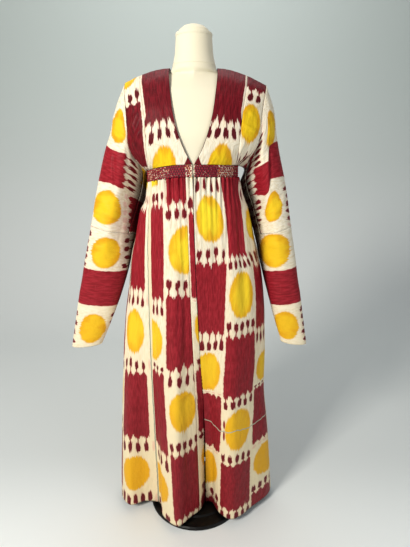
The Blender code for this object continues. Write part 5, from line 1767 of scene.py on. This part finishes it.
def ikat(name, **dyes):
    """Ikat silk: soft-edged crimson bars, drops and yellow discs on cream, with a sheen."""
    made, tree, shader = surface(name, 0.48, Specular_IOR_Level=0.14)
    known = {dye: colour(code) for dye, code in (SHARED_DYES_AND_SHADES | dyes).items()}
    chart = node(tree, "UVMap", uv_map=CHART).outputs[0]
    split = node(tree, "SeparateXYZ", {0: chart})
    known["u"] = split.outputs[0]
    known["w"] = split.outputs[1]
    for streaks in STREAKS:
        stretched = node(tree, "Mapping", {0: chart, 3: (streaks.across, streaks.along, 1.0)}).outputs[0]
        noise = node(tree, "TexNoise", {"Vector": stretched, "Scale": 1.0, "Detail": streaks.detail})
        known[streaks.name] = noise.outputs[0]
    for noted in ("mark", "seam_line", "thread_line", "bare"):
        known[noted] = node(tree, "Attribute", attribute_name=noted).outputs[2]

    # Chance is drawn once for each end of a bar, and then once for each drop on it.
    work_out(tree, PLACE_STEPS, known)
    seed = node(tree, "CombineXYZ", {0: known["column"], 1: known["repeat"], 2: known["below"]})
    by_end = node(tree, "TexWhiteNoise", {"Vector": seed.outputs[0]}, noise_dimensions="3D")
    known["chance"] = by_end.outputs[0]
    work_out(tree, DROP_STEPS, known)
    seed = node(tree, "CombineXYZ", {0: known["drop_seed"], 1: known["end_seed"], 2: 3.0})
    by_drop = node(tree, "TexWhiteNoise", {"Vector": seed.outputs[0]}, noise_dimensions="3D")
    drop = node(tree, "SeparateXYZ", {0: by_drop.outputs[1]})
    known.update(drop_late=drop.outputs[0], drop_size=drop.outputs[1], notch_chance=drop.outputs[2])
    work_out(tree, HEAD_STEPS + BAR_STEPS + DISC_STEPS, known)

    place = node(tree, "NewGeometry").outputs["Position"]
    known["height"] = node(tree, "SeparateXYZ", {0: place}).outputs[2]
    # Silk deep in a gap, where the arm lies beside the skirt, gets little light.
    known["open_share"] = node(tree, "AmbientOcclusion", {"Distance": 0.07}, samples=6).outputs["AO"]
    for cover in COVERS:
        given = {0: known[cover.by], 1: cover.start, 2: cover.end, 4: cover.most}
        known[cover.name] = node(tree, "MapRange", given, interpolation_type=cover.kind).outputs[0]
    for layer in LAYERS:
        given = {0: known[layer.by], 6: known[layer.under], 7: known[layer.over]}
        known[layer.name] = node(tree, "Mix", given, data_type="RGBA").outputs[2]
    tree.links.new(known["shown"], shader.inputs["Base Color"])

    weave = {"Height": known["threads"], "Strength": 0.35, "Distance": 0.0006}
    bump = node(tree, "Bump", weave).outputs[0]
    crumple = {"Height": known["crumple"], "Strength": 0.5, "Distance": 0.006, "Normal": bump}
    bump = node(tree, "Bump", crumple).outputs[0]
    tree.links.new(bump, shader.inputs["Normal"])
    return made


def smocked_silk():
    """Smocked silk: crimson ribs with painted shade in the grooves, and pale and orange stitches in the
    grooves.
    """
    made, tree, shader = surface("smocked_silk_band", 0.45, Specular_IOR_Level=0.25)
    chart = node(tree, "UVMap", uv_map=CHART).outputs[0]
    amount = node(tree, "Attribute", attribute_name="flecks").outputs[2]
    groove = node(tree, "Attribute", attribute_name="groove").outputs[2]
    # Stitches are about 4.5 mm apart, and a colour of thread changes every 6 mm.
    speck = node(tree, "TexNoise", {"Vector": chart, "Scale": 2.2, "Detail": 3.0}).outputs[0]
    depth = node(tree, "Math", {0: speck, 1: 1.6, 2: groove}, operation="MULTIPLY_ADD").outputs[0]
    level = node(tree, "Math", {0: amount, 1: -0.75, 2: 1.95}, operation="MULTIPLY_ADD").outputs[0]
    above_level = node(tree, "Math", {0: depth, 1: level}, operation="SUBTRACT").outputs[0]
    share = node(tree, "MapRange", {0: above_level, 1: 0.0, 2: 0.12}).outputs[0]
    tint = node(tree, "TexNoise", {"Vector": chart, "Scale": 1.7, "Detail": 2.0}).outputs[0]
    pick = node(tree, "MapRange", {0: tint, 1: 0.50, 2: 0.60}).outputs[0]
    pale = node(tree, "Mix", {0: pick, 6: colour("ecdcc0"), 7: colour("cf7a30")}, data_type="RGBA")
    # painted shade: the crimson is painted darker the deeper a place lies in a groove
    red = node(tree, "Mix", {0: groove, 6: colour("9c1a30"), 7: colour("3c0810")}, data_type="RGBA")
    mixed = node(tree, "Mix", {0: share, 6: red.outputs[2], 7: pale.outputs[2]}, data_type="RGBA")
    tree.links.new(mixed.outputs[2], shader.inputs["Base Color"])
    return made


# Noise on these is in metres, so its scale is a number of cells in a centimetre over METRES.
EDGE_THREAD = 4 / METRES  # threads of the rolled edge, 2.5 mm long
KNIT = 7 / METRES  # stitches of 1.4 mm, coarser than real jersey's so that they show
JERSEY_SHADE = 0.09 / METRES  # soft patches about 11 cm wide
DUST = 0.6 / METRES  # patches of dust about 17 mm wide, with grains in them


def rolled_edge():
    """The neck's rolled edge: dark maroon thread, a little shiny."""
    made, tree, shader = surface("rolled_edge_silk", 0.5)
    place = node(tree, "TexCoord").outputs["Object"]
    noise = node(tree, "TexNoise", {"Vector": place, "Scale": EDGE_THREAD}).outputs[0]
    mixed = node(tree, "Mix", {0: noise, 6: colour("3a1016"), 7: colour("6b2028")}, data_type="RGBA")
    tree.links.new(mixed.outputs[2], shader.inputs["Base Color"])
    return made


def jersey():
    """Cream jersey stretched on the form: matt, with a faint fine knit."""
    made, tree, shader = surface("form_cream_jersey", 0.75, Sheen_Weight=0.12)
    place = node(tree, "TexCoord").outputs["Object"]
    knit = node(tree, "TexNoise", {"Vector": place, "Scale": KNIT, "Detail": 1.0}).outputs[0]
    soft = node(tree, "TexNoise", {"Vector": place, "Scale": JERSEY_SHADE, "Detail": 3.0}).outputs[0]
    mixed = node(tree, "Mix", {0: soft, 6: colour("eee4c6"), 7: colour("f2ead0")}, data_type="RGBA")
    tree.links.new(mixed.outputs[2], shader.inputs["Base Color"])
    bump = node(tree, "Bump", {"Height": knit, "Strength": 0.2, "Distance": 0.0003})
    tree.links.new(bump.outputs[0], shader.inputs["Normal"])
    return made


def enamel():
    """Black satin enamel on the stand, with faint dust: lamps show in it as soft streaks."""
    made, tree, shader = surface("stand_black_enamel", 0.4, Specular_IOR_Level=0.25)
    place = node(tree, "TexCoord").outputs["Object"]
    dust = node(tree, "TexNoise", {"Vector": place, "Scale": DUST, "Detail": 6.0}).outputs[0]
    share = node(tree, "MapRange", {0: dust, 1: 0.6, 2: 0.8}).outputs[0]
    mixed = node(tree, "Mix", {0: share, 6: colour("040404"), 7: colour("101010")}, data_type="RGBA")
    tree.links.new(mixed.outputs[2], shader.inputs["Base Color"])
    return made


def backdrop_paper():
    """Pale grey studio paper with painted light and shade: darker up the wall, lighter on the floor and
    lightest at its front.
    """
    made, tree, shader = surface("backdrop_grey_paper", 0.9)
    place = node(tree, "TexCoord").outputs["Object"]
    split = node(tree, "SeparateXYZ", {0: place})
    # painted light and shade: the paper is painted darker up the wall and lighter towards the floor's front
    rise = node(tree, "MapRange", {0: split.outputs[2], 1: 0.02, 2: 2.2}, interpolation_type="SMOOTHSTEP")
    near = node(tree, "MapRange", {0: split.outputs[1], 1: 0.25, 2: -0.35}, interpolation_type="SMOOTHSTEP")
    given = {0: near.outputs[0], 6: colour("d3d7d6"), 7: colour("f4f8f7")}
    floor = node(tree, "Mix", given, data_type="RGBA")
    given = {0: rise.outputs[0], 6: floor.outputs[2], 7: colour("b6bfbc")}
    mixed = node(tree, "Mix", given, data_type="RGBA")
    tree.links.new(mixed.outputs[2], shader.inputs["Base Color"])
    return made


# The sleeves share the skirt's reds, and the bodice's silk is darker.
SKIRT_REDS = {"red": "a42430", "deep_red": "84141e", "worn_red": "b84850"}
BODICE_REDS = {"red": "7a1420", "deep_red": "560a12", "worn_red": "a03440"}
IKAT_SKIRT = ikat("ikat_silk_skirt_cloth", **SKIRT_REDS, yellow="f6da2e", deep_yellow="e6ae1c")
IKAT_BODICE = ikat("ikat_silk_bodice_cloth", **BODICE_REDS, yellow="f4cc1c", deep_yellow="e0a414")
IKAT_SLEEVE = ikat("ikat_silk_sleeve_cloth", **SKIRT_REDS, yellow="f0c622", deep_yellow="dea016")
SMOCKED = smocked_silk()
NECK_EDGE = rolled_edge()
JERSEY = jersey()
ENAMEL = enamel()

build_skirt()
build_bodice()
build_sleeves()
build_band()
build_form()


# ---------------------------------------------------------------- backdrop, light and camera
BACKDROP_HALF_WIDTH = 6.0  # this and the rest below in metres
BACKDROP_FRONT = -4.0
BACKDROP_TOP = 5.0
BEND_AT = 1.3  # where the floor starts to bend up
BEND_RADIUS = 1.2
BEND_STEPS = 24


def build_backdrop():
    """A floor that bends up into a wall behind the stand."""
    line = [(BACKDROP_FRONT, 0.0), (BEND_AT, 0.0)]
    for step in range(1, BEND_STEPS + 1):
        angle = math.radians(90 * step / BEND_STEPS)
        line.append((BEND_AT + BEND_RADIUS * math.sin(angle), BEND_RADIUS - BEND_RADIUS * math.cos(angle)))
    line.append((BEND_AT + BEND_RADIUS, BACKDROP_TOP))
    points = [(x, y, z) for y, z in line for x in (-BACKDROP_HALF_WIDTH, BACKDROP_HALF_WIDTH)]
    faces = [(2 * k, 2 * k + 1, 2 * k + 3, 2 * k + 2) for k in range(len(line) - 1)]
    mesh = bpy.data.meshes.new("backdrop")
    mesh.from_pydata(points, [], faces)
    mesh.shade_smooth()
    mesh.materials.append(backdrop_paper())
    made = add_object("backdrop", mesh)


def add_light(name, place, target, size, power, tint):
    """A soft square light that looks at a place."""
    light = bpy.data.lights.new(name, "AREA")
    light.size = size
    light.energy = power
    light.color = colour(tint)[:3]
    made = add_object(name, light)
    made.location = place
    made.rotation_euler = (Vector(target) - Vector(place)).to_track_quat("-Z", "Y").to_euler()


build_backdrop()
add_light("key", (-2.0, -2.4, 2.5), (0, 0, 1.0), 0.8, 118.0, "fffaf2")
add_light("fill", (2.4, -2.2, 1.7), (0, 0, 0.8), 1.6, 18.0, "f4f8ff")
add_light("wall", (0.0, 0.9, 3.0), (0, 2.4, 0.9), 1.8, 26.0, "ffffff")

bpy.context.scene.view_settings.view_transform = "Standard"
world = bpy.data.worlds.new("studio")
bpy.context.scene.world = world
world.use_nodes = True
world.node_tree.nodes["Background"].inputs[0].default_value = colour("eef2f4")
world.node_tree.nodes["Background"].inputs[1].default_value = 0.26

camera_data = bpy.data.cameras.new("camera")
camera_data.sensor_width = 36.0
camera_data.lens = 27.31
camera = add_object("camera", camera_data)
camera.location = (0.03, -1.255, 1.173)
camera.rotation_euler = (math.radians(74.8), 0.0, 0.0)
bpy.context.scene.camera = camera
